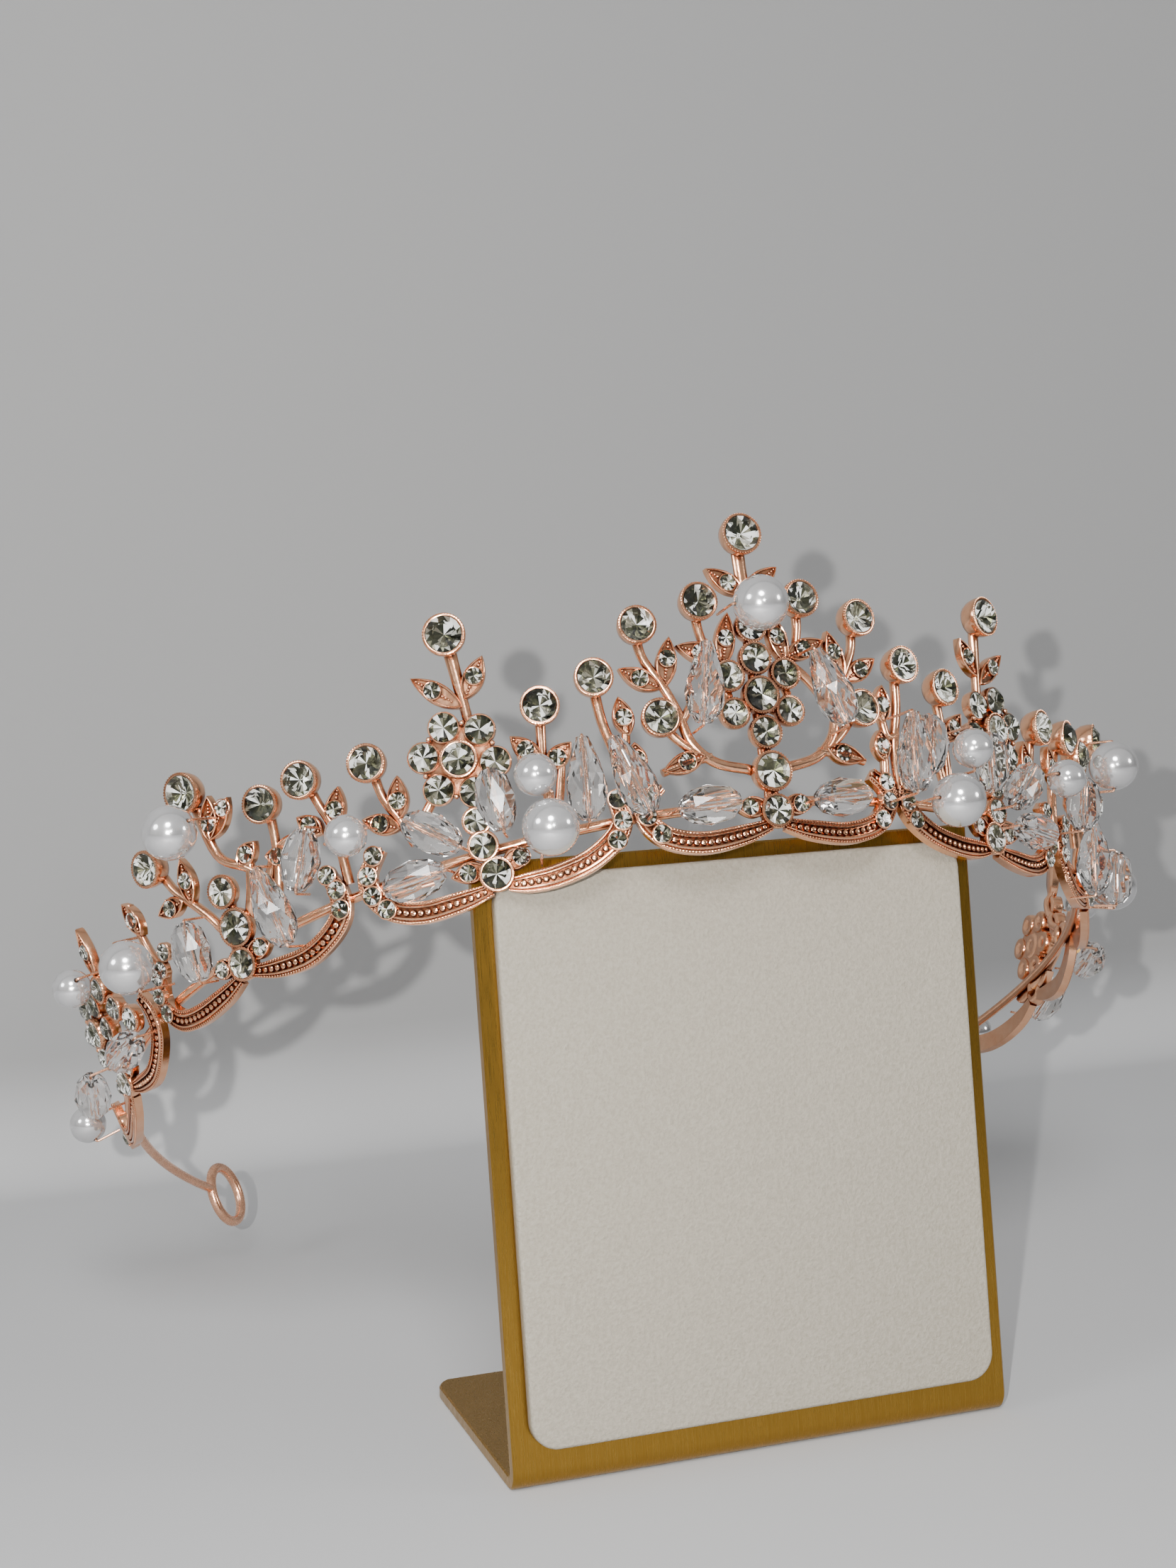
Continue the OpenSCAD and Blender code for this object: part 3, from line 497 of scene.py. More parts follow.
# deep flattens the back of a stone that sits in a flat setting.
def addStone(tray, where, radius, lift, deep):
    s = stoneCut
    points = stonePoints @ turnZ(chance.uniform(0, pi)).T * radius
    low = points[:, 2] < s["backFrom"] * radius
    points[low, 2] *= deep
    points[:, 2] += lift
    # painted glints: each wedge and facet of the foil is painted lighter or darker at random
    light, dark = s["wedgeGlints"]
    wedge = np.where(np.arange(16) % 2, light, dark) + chance.uniform(-s["wedgeGlintSpread"], s["wedgeGlintSpread"], 16)
    # painted sparks: a few facets are pushed to white and glow
    paintedSparks = s["paintedSpark"] * (chance.uniform(0, 1, len(stoneUnder)) > s["paintedSparkAbove"])
    facet = chance.uniform(-s["facetGlintSpread"], s["facetGlintSpread"], len(stoneUnder))
    glints = np.clip(np.repeat(wedge, 3) + paintedSparks + facet + chance.uniform(*s["stoneGlintSpread"]), 0, 1)
    tray.add(onSeat(where, points), stoneTop + stoneUnder, smooth=False,
             skins=[0] * len(stoneTop) + [1] * len(stoneUnder), glints=[0.5] * len(stoneTop) + list(glints))


# The scalloped rim. Rows are shares: pitch along, crest height up, width across.
scallop = {
    "width": 3.2, "cuts": 7,
    "section": [(-0.5, -1.2), (-0.5, 0.02), (-0.46, 0.1), (-0.38, 0.1), (-0.34, 0.04), (-0.31, 0.2),
                (-0.27, 0.28), (-0.22, 0.25), (-0.19, -0.26), (0.19, -0.26), (0.22, 0.25), (0.27, 0.28),
                (0.31, 0.2), (0.34, 0.04), (0.38, 0.1), (0.46, 0.1), (0.5, 0.02), (0.5, -1.2)],
    # grains of the two edges and beads of the channel: share across, lift, radius, step, sides
    "edges": [(-0.42, 0.1, 0.2, 0.47, 6), (0.42, 0.1, 0.2, 0.47, 6)], "beads": (0, -0.16, 0.52, 1.04, 9),
    "grow": 1.15, "least": 0.6,                  # how their size follows the width
    "lines": [
        [(0.03, -0.03, 0.55), (0.13, -0.055, 0.9), (0.27, -0.068, 1), (0.39, -0.04, 1), (0.455, 0.02, 0.95),
         (0.465, 0.09, 0.85), (0.40, 0.145, 0.65)],
        [(0.97, -0.075, 0.55), (0.9, -0.085, 0.9), (0.8, -0.085, 1), (0.68, -0.06, 1), (0.585, -0.005, 1),
         (0.545, 0.06, 0.9), (0.56, 0.14, 0.65)],
        [(1.03, -0.075, 0.55), (1.13, -0.085, 0.9), (1.27, -0.082, 1), (1.37, -0.045, 1), (1.425, 0.02, 0.95),
         (1.43, 0.10, 0.85), (1.36, 0.175, 0.6)],
        [(1.96, -0.03, 0.55), (1.86, -0.06, 0.9), (1.74, -0.072, 1), (1.64, -0.045, 1), (1.565, 0.01, 1),
         (1.545, 0.09, 0.9), (1.57, 0.175, 0.6)],
        [(2.03, -0.03, 0.55), (2.13, -0.05, 0.9), (2.27, -0.055, 1), (2.38, -0.03, 1), (2.435, 0.03, 0.95),
         (2.44, 0.1, 0.85), (2.37, 0.175, 0.6)],
        [(2.96, -0.03, 0.55), (2.86, -0.062, 0.9), (2.74, -0.08, 1), (2.64, -0.05, 1), (2.565, 0.01, 1),
         (2.545, 0.09, 0.9), (2.57, 0.165, 0.6)],
        [(3.03, -0.03, 0.55), (3.13, -0.06, 0.9), (3.27, -0.068, 1), (3.41, -0.05, 1), (3.53, 0.0, 0.95),
         (3.57, 0.075, 0.8), (3.52, 0.14, 0.55)],
    ],
}


def sized(rows, side, width):
    return np.array(rows, float) * [side * pitch, crestH, width]


# A row of grains along a line, at a share of its width across.
def addBeading(tray, line, share, lift, radius, step, count):
    u = heading(line)
    along = line[:, 0] - u[:, 1] * share * line[:, 2]
    up = line[:, 1] + u[:, 0] * share * line[:, 2]
    run = np.r_[0, np.cumsum(np.hypot(np.diff(along), np.diff(up)))]
    at = np.linspace(0, run[-1], max(2, int(run[-1] / step)) + 1)
    width = np.interp(at, run, line[:, 2]) / scallop["width"]
    size = radius * np.clip(width * scallop["grow"], scallop["least"], 1)
    addGrains(tray, np.interp(at, run, along), np.interp(at, run, up), band["front"] + lift, size, count)


def rim():
    rails, grains = Tray(), Tray()
    for side in sides:
        for rows in scallop["lines"]:
            line = smoothLine(sized(rows, side, scallop["width"]), scallop["cuts"])
            addRings(rails, laid(line, scallop["section"], band["front"]))
            for row in scallop["edges"] + [scallop["beads"]]:
                addBeading(grains, line, *row)
    rails.make("rimRails", ["gold"], "gold", ["crest"])
    grains.make("rimBeading", ["gold"], "gold", ["crest"])


# Rods of the crest, and its leaves. Rows are shares: pitch along, crest height up, thickness across.
crest = {
    "stem": 1.1, "stemCuts": 6, "rodHalf": (0.55, 0.72), "rodSides": 10, "rodBack": -0.25, "rodDip": 0.75,
    "stems": [
        [(0.16, 0.6, 1), (0.175, 0.68, 1.1), (0.175, 0.765, 1.3)],
        [(0.0, 0.155, 1.4), (0.08, 0.172, 1.3), (0.19, 0.205, 1.3), (0.262, 0.28, 1.3), (0.29, 0.39, 1.2),
         (0.325, 0.49, 1.2), (0.375, 0.6, 1.1), (0.383, 0.705, 1.3)],
        [(0.53, 0.1, 1.4), (0.52, 0.25, 1.3), (0.545, 0.4, 1.2), (0.549, 0.547, 1.3)],
        [(0.25, 0.24, 1.1), (0.31, 0.3, 1.1), (0.362, 0.373, 1.4)],
        [(0.762, 0.05, 1.3), (0.77, 0.19, 1.2), (0.758, 0.33, 1.1), (0.733, 0.487, 1.3)],
        [(1.24, 0.15, 1.2), (1.27, 0.254, 1.2), (1.3, 0.34, 1.1), (1.308, 0.462, 1.3)],
        [(1.5, 0.1, 1.3), (1.49, 0.28, 1.2), (1.515, 0.4, 1.1), (1.532, 0.492, 1.3)],
        [(1.78, 0.13, 1.2), (1.73, 0.24, 1.2), (1.7, 0.35, 1.1), (1.684, 0.472, 1.3)],
        [(2.0, 0.06, 1.2), (2.04, 0.19, 1.2), (2.1, 0.29, 1.2), (2.16, 0.38, 1.1), (2.194, 0.489, 1.3)],
        [(2.36, 0.15, 1.2), (2.4, 0.25, 1.1), (2.41, 0.36, 1.1), (2.4, 0.45, 0.8)],
        [(2.98, 0.02, 1.4), (2.7, 0.12, 1.4), (2.762, 0.218, 1.2), (2.805, 0.322, 1.2), (2.79, 0.42, 1.1)],
        [(3.0, 0.0, 1.6), (3.0, 0.12, 1.4)],
        [(0.2, 0.225, 1.1), (0.29, 0.215, 1.2), (0.38, 0.19, 1)],
        [(0.28, 0.36, 1), (0.2, 0.47, 1.1), (0.13, 0.55, 1.2), (0.12, 0.6, 1)],
        [(0.46, 0.1, 1.2), (0.47, 0.2, 1.1), (0.46, 0.26, 1)],
        [(0.535, 0.3, 1), (0.49, 0.29, 1.1), (0.47, 0.38, 1)],
        [(0.8, 0.05, 1.2), (0.74, 0.16, 1.1), (0.7, 0.3, 1)],
        [(0.93, 0.3, 1.2), (0.96, 0.42, 1.2), (0.964, 0.55, 1.2), (0.966, 0.78, 1.5)],
        [(1.26, 0.2, 1.2), (1.2, 0.22, 1.3), (1.14, 0.28, 1.2)],
        [(1.75, 0.2, 1.2), (1.83, 0.3, 1.2), (1.93, 0.4, 1.2), (1.937, 0.62, 1.5)],
        [(1.96, 0.08, 1.2), (1.87, 0.2, 1.2), (1.81, 0.345, 1.1)],
        [(1.56, 0.3, 1), (1.65, 0.33, 1.1), (1.73, 0.29, 1.2), (1.79, 0.2, 1.1)],
        [(0.0, 0.4, 1), (0.1, 0.368, 1), (0.1, 0.501, 1)], [(1.958, 0.136, 1), (1.957, 0.272, 1)],
        [(1.0, -0.03, 1), (1.02, 0.162, 1), (1.022, 0.38, 1)],
    ],
    "middle": [(0, -0.02, 2), (0, 0.4, 1.6), (0, 0.7, 1.5), (0, 0.95, 1.6)],
    # base, tip, and where the stone stands between them
    "leaves": [
        ((0.0, 0.795), (0.13, 0.89), 0.42), ((0.112, 0.545), (0.07, 0.73), 0.5),
        ((0.115, 0.565), (0.267, 0.625), 0.45), ((0.322, 0.49), (0.277, 0.66), 0.55),
        ((0.335, 0.485), (0.466, 0.57), 0.48), ((0.47, 0.34), (0.48, 0.475), 0.45),
        ((0.23, 0.23), (0.38, 0.194), 0.4), ((0.46, 0.2), (0.455, 0.31), 0.45),
        ((0.765, 0.3), (0.85, 0.415), 0.5), ((0.755, 0.275), (0.655, 0.35), 0.42),
        ((0.972, 0.56), (1.112, 0.7), 0.55), ((0.955, 0.585), (0.865, 0.71), 0.5),
        ((1.27, 0.25), (1.23, 0.395), 0.42), ((1.495, 0.3), (1.427, 0.43), 0.45),
        ((1.275, 0.22), (1.39, 0.29), 0.5), ((1.53, 0.3), (1.6, 0.385), 0.5),
        ((1.66, 0.27), (1.755, 0.31), 0.5), ((1.86, 0.325), (1.765, 0.375), 0.45),
        ((1.93, 0.46), (1.87, 0.6), 0.35), ((1.925, 0.46), (1.8, 0.56), 0.74),
        ((2.1, 0.3), (2.07, 0.46), 0.5), ((2.13, 0.325), (2.27, 0.335), 0.5),
        ((2.39, 0.33), (2.42, 0.47), 0.45), ((2.8, 0.38), (2.765, 0.565), 0.5),
        ((0.03, 0.035), (0.15, 0.04), 0.56), ((1.03, 0.0), (1.155, 0.0), 0.5),
        ((0.97, 0.0), (0.875, 0.01), 0.68), ((2.03, 0.03), (2.14, 0.035), 0.52),
        ((1.96, 0.03), (1.845, 0.035), 0.56), ((3.03, 0.03), (3.15, 0.035), 0.56),
        ((2.97, 0.03), (2.85, 0.035), 0.56), ((3.53, 0.07), (3.74, 0.02), 0.62),
    ],
    # the wire behind the band, and the round plates near its ends
    "wire": 0.75, "wireUp": 2.3, "wireDepth": -1.5, "wireEnd": 154.9, "wirePoints": 160, "wireSides": 12,
    "plateEnd": 146.7, "plate": [(0.6, -0.78), (1.9, -0.75), (2.2, -0.5), (2.25, 1.4), (2.1, 1.7), (1, 1.75)],
}


# How far a rod lies back at each point: it dips where it runs behind a flat setting, or a whole rosette.
def rodDepth(line):
    s = settings
    rows = [(along, up, share) for along, up, share, _ in s["column"]]
    rows += [(g * along, up, share) for along, up, share, _ in s["plain"] for g in sides]
    rows += [(g * along, up, s["rosetteReach"] * share) for along, up, share in s["rosettes"] for g in sides]
    dip = np.zeros(len(line))
    for along, up, share in rows:
        reach = share * s["flower"] + s["margin"]
        away = np.hypot(line[:, 0] - along * pitch, line[:, 1] - up * crestH) / reach
        dip = np.maximum(dip, np.clip(2.2 - 2 * away, 0, 1))  # whole within 0.6 of the reach, none past 1.1
    return crest["rodBack"] - crest["rodDip"] * dip


def rods(tray):
    section = circle(crest["rodSides"], 1)[:, :2] * crest["rodHalf"]
    rows = [sized(stem, side, crest["stem"]) for stem in crest["stems"] for side in sides]
    for row in rows + [sized(crest["middle"], 1, crest["stem"])]:
        line = smoothLine(row, crest["stemCuts"])
        addRings(tray, laid(line, section, rodDepth(line)))


def bandWire(tray):
    count = crest["wirePoints"]
    along = np.linspace(-crest["wireEnd"], crest["wireEnd"], count)
    line = np.stack([along, np.full(count, crest["wireUp"]), np.ones(count)], -1)
    section = circle(crest["wireSides"], 1)[:, :2] * crest["wire"]
    addRings(tray, laid(line, section, crest["wireDepth"]))
    for side in sides:
        where = seat(side * crest["plateEnd"], crest["wireUp"], crest["wireDepth"])
        addTurned(tray, where, crest["plate"])


# A leaf: a pointed plate with a raised edge, a small stone in a cup, and grains towards both ends.
leaf = {
    "width": 3.1, "belly": 0.92, "blunt": 0.85, "steps": 14,
    "from": -0.56, "reach": 1.06, "middle": -0.03,  # shares of its length
    # drawn in so far, at a height
    "layers": [(0.25, -1.2), (0, -1.0), (0, 0.1), (0.08, 0.26), (0.2, 0.32), (0.34, 0.24), (0.42, -0.05)],
    "stone": 1.22, "stoneUp": 0.3, "cupFoot": (0.9, -0.5), "cupWall": [(0.1, 0), (0.14, 0.25), (0.04, 0.33)],
    "grains": 4, "grainFrom": 1.68, "grainStep": 0.5, "grain": 0.27, "grainLess": 0.04, "grainUp": 0.02,
    "ends": (-0.48, 0.46),                       # no grain past these
    "claw": 0.2, "clawOut": 0.08, "clawUp": 0.04,
}


def leafRing(length, inset, z):
    t = np.linspace(0, 1, leaf["steps"] + 1)
    x = length * (leaf["from"] + leaf["reach"] * t)
    y = 0.5 * leaf["width"] * np.sin(pi * t ** leaf["belly"]) ** leaf["blunt"]
    shrink = (1 - 2 * inset / length, 1 - 2 * inset / leaf["width"])
    edge = np.vstack([np.stack([x, -y], -1), np.stack([x, y], -1)[-2:0:-1]])
    middle = np.array([leaf["middle"] * length, 0])
    edge = (edge - middle) * shrink + middle
    return np.hstack([edge, np.full((len(edge), 1), z)])


def leafWork(metal, stones):
    for side in sides:
        for base, tip, share in crest["leaves"]:
            a = np.array(base) * [side * pitch, crestH]
            b = np.array(tip) * [side * pitch, crestH]
            length = np.linalg.norm(b - a)
            middle = (a + b) / 2
            where = seat(*middle, band["front"], np.arctan2(*(b - a)[::-1]))
            addRings(metal, [onSeat(where, leafRing(length, inset, z)) for inset, z in leaf["layers"]])
            at = (share - 0.5) * length
            cup = (where[0], onSeat(where, [at, 0, 0]))
            r, up = leaf["stone"], leaf["stoneUp"]
            wall = [(r + beyond, z) for beyond, z in leaf["cupWall"]]
            addTurned(metal, cup, [leaf["cupFoot"]] + wall + pocket(r, up, settings["flat"]), 18)
            addStone(stones, cup, r, up + settings["proud"], settings["flat"])
            for k in range(leaf["grains"]):
                for way in sides:
                    x = at + way * (leaf["grainFrom"] + leaf["grainStep"] * k)
                    if leaf["ends"][0] * length < x < leaf["ends"][1] * length:
                        addDome(metal, where, (x, 0, leaf["grainUp"]), leaf["grain"] - leaf["grainLess"] * k)
            for way in sides:
                addDome(metal, where, (at, way * (r + leaf["clawOut"]), up + leaf["clawUp"]), leaf["claw"])


# Round settings: pitch along, crest height up, stone size as a share, and how far they stand out.
settings = {
    "ball": 2.4, "spire": 2.65, "flower": 2.1, "wall": 0.42, "cup": 2, "flat": 0.45, "proud": 0.02,
    # outlines as shares of the setting's radius, and height: the dimpled back, a tall and a low wall
    "back": [(0.12, -0.85), (0.32, -0.92), (0.44, -1.15)],
    "tallWall": [(0.55, -1.2), (0.78, -0.9), (0.93, -0.1), (1, 0.9)],
    "lowWall": [(0.56, -1.22), (0.78, -1.18), (0.95, -0.9), (1, -0.3)],
    "edgeStep": 0.42, "edgeIn": 0.1, "edgeGrain": 0.14,
    "plain": [
        (0.1, 0.368, 0.9, 0.5), (0.1, 0.501, 0.94, 0.5), (1.02, 0.162, 0.8, 0.5), (1.02, 0.075, 0.88, 0.5),
        (1.957, 0.272, 1, 0.5), (1.958, 0.136, 1.2, 0.5), (1.0, -0.03, 1, 0.5), (1.99, 0.012, 1, 0.5),
        (3.0, 0.012, 1, 0.5), (2.68, 0.13, 0.85, 0.5), (2.762, 0.218, 0.85, 0.5), (2.805, 0.322, 0.85, 0.7)],
    "column": [
        (0, 0.017, 1, 0.5), (0, 0.155, 1.22, 0.9), (0, 0.295, 1, 0.5), (0, 0.426, 1.15, 0.8),
        (0, 0.559, 1, 0.5), (0, 0.673, 0.95, 0.5)],
    "balls": [
        (0.175, 0.765), (0.383, 0.705), (0.549, 0.547), (0.362, 0.373), (0.733, 0.487), (1.308, 0.462),
        (1.532, 0.492), (1.684, 0.472), (2.194, 0.489)],
    "spires": [(0.966, 0.806), (1.937, 0.644)],
    "rosettes": [(1.022, 0.38, 1), (3.0, 0.235, 0.92)], "rosetteReach": 2.2, "margin": 0.5,
    "petalR": 5.1, "petalTurn": 79, "petalUp": 0.5, "rosetteUp": 1.3, "rosetteStone": 1.1,
    "petalBack": [(0.3, -0.8), (0.75, -0.9), (1, -1.15), (1.4, -1.22), (1.85, -1.18)],
    "petalWall": [(0.05, -1), (0.22, -0.2), (0.2, 0.42), (0.08, 0.52)],  # beyond the stone's radius, height
    "between": 0.42, "betweenOut": 1.02, "betweenUp": 0.5,               # the grains between the petals
    # small stones set in a row round the curled ends of the rim
    "curls": [
        (0.456, 0.118), (0.462, 0.05), (0.424, -0.018), (0.55, 0.125), (0.546, 0.05), (0.578, -0.012),
        (1.385, 0.158), (1.425, 0.1), (1.43, 0.03), (1.395, -0.03), (1.56, 0.155), (1.544, 0.095),
        (1.553, 0.03), (2.4, 0.158), (2.436, 0.1), (2.435, 0.03), (2.311, 0.215), (2.362, 0.17)],
    "curlR": 1.28, "curlUp": 0.52, "curlFoot": (1, -0.6),
    "curlWall": [(0.16, -0.4), (0.2, 0.45), (0.06, 0.54)],
}


# A seat on the plate's front, given in shares.
def frontSeat(along, up, side=1):
    return seat(side * along * pitch, up * crestH, band["front"])


# The inside of a setting, down along the stone's back.
def pocket(radius, top, deep):
    clear = 0.06
    return [(radius, top + 0.02), (radius - 0.02, top - 0.1),
            (0.58 * radius, top - 0.4 * deep * radius - clear), (0.04, top - 0.6 * deep * radius - clear)]


def addCollet(tray, where, radius, top, tall):
    s = settings
    outer = radius + s["wall"]
    outline = [(share * outer, z) for share, z in s["back"] + s["tallWall" if tall else "lowWall"]]
    outline += [(outer, top - 0.14), (outer - 0.08, top), (radius + 0.12, top + 0.06)]  # the rounded lip
    addTurned(tray, where, outline + pocket(radius, top, 1 if tall else s["flat"]), 28)
    count = int(2 * pi * outer / s["edgeStep"])
    edge = outer - s["edgeIn"]
    for k in range(count):  # a fine beaded edge
        a = 2 * pi * k / count
        addDome(tray, where, (edge * cos(a), edge * sin(a), top - 0.02), s["edgeGrain"], 5)


def setFlat(metal, stones, where, radius, rise):
    addCollet(metal, where, radius, rise, False)
    addStone(stones, where, radius, rise + settings["proud"], settings["flat"])


def setTall(metal, stones, where, radius):
    addCollet(metal, where, radius, settings["cup"], True)
    addStone(stones, where, radius, settings["cup"] - settings["proud"], 1)


# A flower of six stones round a seventh, on a thin disc. The left one mirrors the right.
def addRosette(metal, stones, where, share, side):
    s = settings
    radius, r = share * s["flower"], share * s["petalR"]
    addTurned(metal, where, [(2, -0.95), (4.8 * share, -0.9), (5 * share, -0.1), (3, 0.1)])
    setFlat(metal, stones, where, radius * s["rosetteStone"], s["rosetteUp"])
    wall = [(radius + beyond, z) for beyond, z in s["petalWall"]]
    for k in range(6):
        a = radians(s["petalTurn"] + 60 * k)
        petal = (where[0], onSeat(where, [side * r * cos(a), r * sin(a), 0]))
        addTurned(metal, petal, s["petalBack"] + wall + pocket(radius, s["petalUp"], s["flat"]), 22)
        addStone(stones, petal, radius, s["petalUp"] + s["proud"], s["flat"])
        b, away = a + radians(30), s["betweenOut"] * r
        addDome(metal, where, (side * away * cos(b), away * sin(b), s["betweenUp"]), s["between"])


def stoneWork(metal, stones):
    s = settings
    for along, up, share, rise in s["column"]:
        setFlat(metal, stones, frontSeat(along, up), share * s["flower"], rise)
    for side in sides:
        for along, up, share, rise in s["plain"]:
            setFlat(metal, stones, frontSeat(along, up, side), share * s["flower"], rise)
        for rows, radius in ((s["balls"], s["ball"]), (s["spires"], s["spire"])):
            for along, up in rows:
                setTall(metal, stones, frontSeat(along, up, side), radius)
        for along, up, share in s["rosettes"]:
            addRosette(metal, stones, frontSeat(along, up, side), share, side)
    setTall(metal, stones, frontSeat(0, 1), s["spire"])  # the middle spire


def curlWork(metal, stones):
    s = settings
    wall = [(s["curlR"] + beyond, z) for beyond, z in s["curlWall"]]
    outline = [s["curlFoot"]] + wall + pocket(s["curlR"], s["curlUp"], s["flat"])
    for side in sides:
        for along, up in s["curls"]:
            where = frontSeat(along, up, side)
            addTurned(metal, where, outline, 18)
            addStone(stones, where, s["curlR"], s["curlUp"] + s["proud"], s["flat"])


def crestWork():
    metal, leaves, rose, stones, seeds, curls = (Tray() for _ in range(6))
    rods(metal)
    bandWire(metal)
    leafWork(leaves, seeds)
    stoneWork(rose, stones)
    curlWork(rose, curls)
    metal.make("crestRods", ["gold"], "gold", ["crest"])
    leaves.make("crestLeaves", ["gold"], "gold", ["crest"])
    rose.make("crestSettings", ["gold"], "gold", ["crest"])
    stones.make("roundStones", ["glass", "foil"], "stones", ["ball_stones"])
    seeds.make("leafStones", ["glass", "foil"], "stones", ["seed_stones"])
    curls.make("curlStones", ["glass", "foil"], "stones")


# Beads: sizes, and rows of pitch along, crest height up, depth, turn, and the depths where the wire ends.
beads = {
    "pearl": 8, "smallPearl": 6, "crystal": 6.1, "barrel": 8.6, "drop": 11.6, "facets": 9, "hole": 0.4,
    "wire": 0.2, "wireBend": 0.3, "wireOut": 0.1,
    "pearlRows": {
        "pearl_centre": (-0.012, 0.72, 6, 0, 0.5, 0.8),
        "pearl_left_1": (-0.791, 0.056, 6.8, 60, -0.8, 0.9),
        "pearl_right_1": (0.655, 0.037, 6.2, 0, 0.3, -0.8),
        "pearl_left_4": (-1.961, 0.51, 6.4, 0, 0.5, 0.8), "pearl_right_4": (1.8, 0.47, 6.2, 90, 1.5, 0.1),
        "pearl_left_5": (-2.379, 0.215, 5.6, -82, 0.8, -0.6),
        "pearl_right_5": (2.379, 0.215, 5.6, 82, -0.6, 0.8)},
    "smallRows": {
        "pearl_left_2": (-0.799, 0.24, 6.4, 120, 0.9, -0.4), "pearl_right_2": (0.743, 0.236, 6.2, 90, 0.9, 1),
        "pearl_left_3": (-1.42, 0.237, 5, 0, 0.8, 1.4), "pearl_right_3": (1.346, 0.257, 5, 0, 0.8, 0.3),
        "pearl_left_6": (-2.777, 0.349, 5, 0, 1.2, 0.5), "pearl_right_6": (2.777, 0.349, 5, 0, 0.5, 1.2),
        "pearl_left_7": (-3.633, 0.162, 5, 90, 0.9, 0.6), "pearl_right_7": (3.633, 0.162, 5, 90, 0.9, 0.6)},
    # the same for crystals, left then right, with drop (1) or barrel (0)
    "crystalRows": [
        ((-0.221, 0.461, 5, -102, 1.5, 0, 1), (0.203, 0.425, 5, -70, 0.8, 0.4, 1)),
        ((-0.267, 0.044, 4, 0, -0.5, -0.5, 0), (0.211, 0.039, 4, 4, 1.4, -0.6, 0)),
        ((-0.505, 0.179, 5, -75, 0.8, 0.4, 1), (0.476, 0.196, 6.6, -93, 0.9, 0.3, 1)),
        ((-0.646, 0.203, 3.8, -97, 0.5, -0.6, 1), (0.607, 0.25, 3.4, -97, 0.5, -0.4, 0)),
        ((-0.936, 0.199, 4.4, 90, -0.4, 1.7, 0), (0.888, 0.218, 4.2, 90, 0.5, 2.2, 0)),
        ((-1.155, 0.148, 5, -42, 0.8, 1, 0), (1.045, 0.154, 5, 50, 1.4, 1.1, 0)),
        ((-1.255, 0.019, 4, 0, -0.8, -0.6, 0), (1.115, 0, 4.7, 0, 1.9, 0.4, 0)),
        ((-1.585, 0.218, 5, 60, 0.5, 0.8, 0), (1.517, 0.208, 4.6, -100, 0.9, 0.9, 0)),
        ((-1.733, 0.116, 5, -87, 0.8, 0.7, 1), (1.614, 0.024, 4.6, -87, -0.8, 0.4, 1)),
        ((-2.083, 0.116, 5, 80, 1.3, 0.9, 0), (2.083, 0.116, 5, -80, 0.9, 1.3, 0)),
        ((-2.667, 0.015, 4, 0, -0.6, 0.2, 0), (2.667, 0.015, 4, 0, 0.2, -0.6, 0)),
        ((-3.119, 0.056, 4.8, 20, -0.2, 1.6, 0), (3.119, 0.056, 4.8, -20, 1.6, -0.2, 0))],
    # shares of length along and of diameter across
    "barrelLine": [(-0.5, 0.2), (-0.34, 0.38), (0, 0.48), (0.34, 0.38), (0.5, 0.2)],
    "dropLine": [(-0.5, 0.15), (-0.36, 0.25), (-0.2, 0.35), (-0.03, 0.43), (0.12, 0.48), (0.27, 0.45),
                 (0.4, 0.35), (0.5, 0.2)],
}


def beadSeat(row):
    return seat(row[0] * pitch, row[1] * crestH, row[2], radians(row[3]))


# A bead's wire: straight through its hole, then a bend and a leg at each end.
def addWire(tray, row, length):
    half, r = length / 2 + beads["wireOut"], beads["wireBend"]
    bend = np.linspace(0, pi / 2, 5)
    points = [[-half - r, 0, row[4] - row[2]]]
    points += [[-half - r * cos(t), 0, r * sin(t) - r] for t in bend]
    points += [[half + r * sin(t), 0, r * cos(t) - r] for t in bend]
    points.append([half + r, 0, row[5] - row[2]])
    addTube(tray, beadSeat(row), points, beads["wire"])


# A drop or a barrel of flat facets, drilled from end to end.
def crystalBead(name, row, length, line):
    count, last = beads["facets"], len(line) - 1
    points = [circle(count, r * beads["crystal"], x * length, 0.5 * (i % 2)) for i, (x, r) in enumerate(line)]
    for x, i in ((0.5, last), (-0.5, 0)):  # the bore's two ends
        points.append(circle(count, beads["hole"], x * length, 0.5 * (i % 2)))
    faces = []
    for i in range(last):
        for j in range(count):
            n = (j + 1) % count
            lo, hi = i * count, (i + 1) * count
            if i % 2 == 0:
                faces += [[lo + j, lo + n, hi + j], [lo + n, hi + n, hi + j]]
            else:
                faces += [[lo + j, hi + n, hi + j], [lo + j, lo + n, hi + n]]
    rings = [last, last + 1, last + 2, 0]
    for p, q in zip(rings, rings[1:]):
        for j in range(count):
            n = (j + 1) % count
            faces.append([p * count + j, p * count + n, q * count + n, q * count + j])
    tray = Tray()
    lying = np.vstack(points)[:, [2, 0, 1]]  # along the seat's first axis
    tray.add(onSeat(beadSeat(row), lying), faces, smooth=False)
    tray.make(name + "_cut", ["crystal"], "crystal", [name])


# A new finish for a CAD node that stays as it is.
def refinish(name, skin):
    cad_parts[name].data.materials.clear()
    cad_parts[name].data.materials.append(finishes[skin])


def beadWork():
    wires = Tray()
    for rows, size in ((beads["pearlRows"], beads["pearl"]), (beads["smallRows"], beads["smallPearl"])):
        for name, row in rows.items():
            addWire(wires, row, size)
            refinish(name, "pearl")
    for k, pair in enumerate(beads["crystalRows"]):
        for side, row in zip(("left", "right"), pair):
            shape = "drop" if row[6] == 1 else "barrel"
            crystalBead(f"crystal_{side}_{k + 1}", row, beads[shape], beads[shape + "Line"])
            addWire(wires, row, beads[shape])
    wires.make("beadWires", ["wire"], "gold", ["bead_wires"])


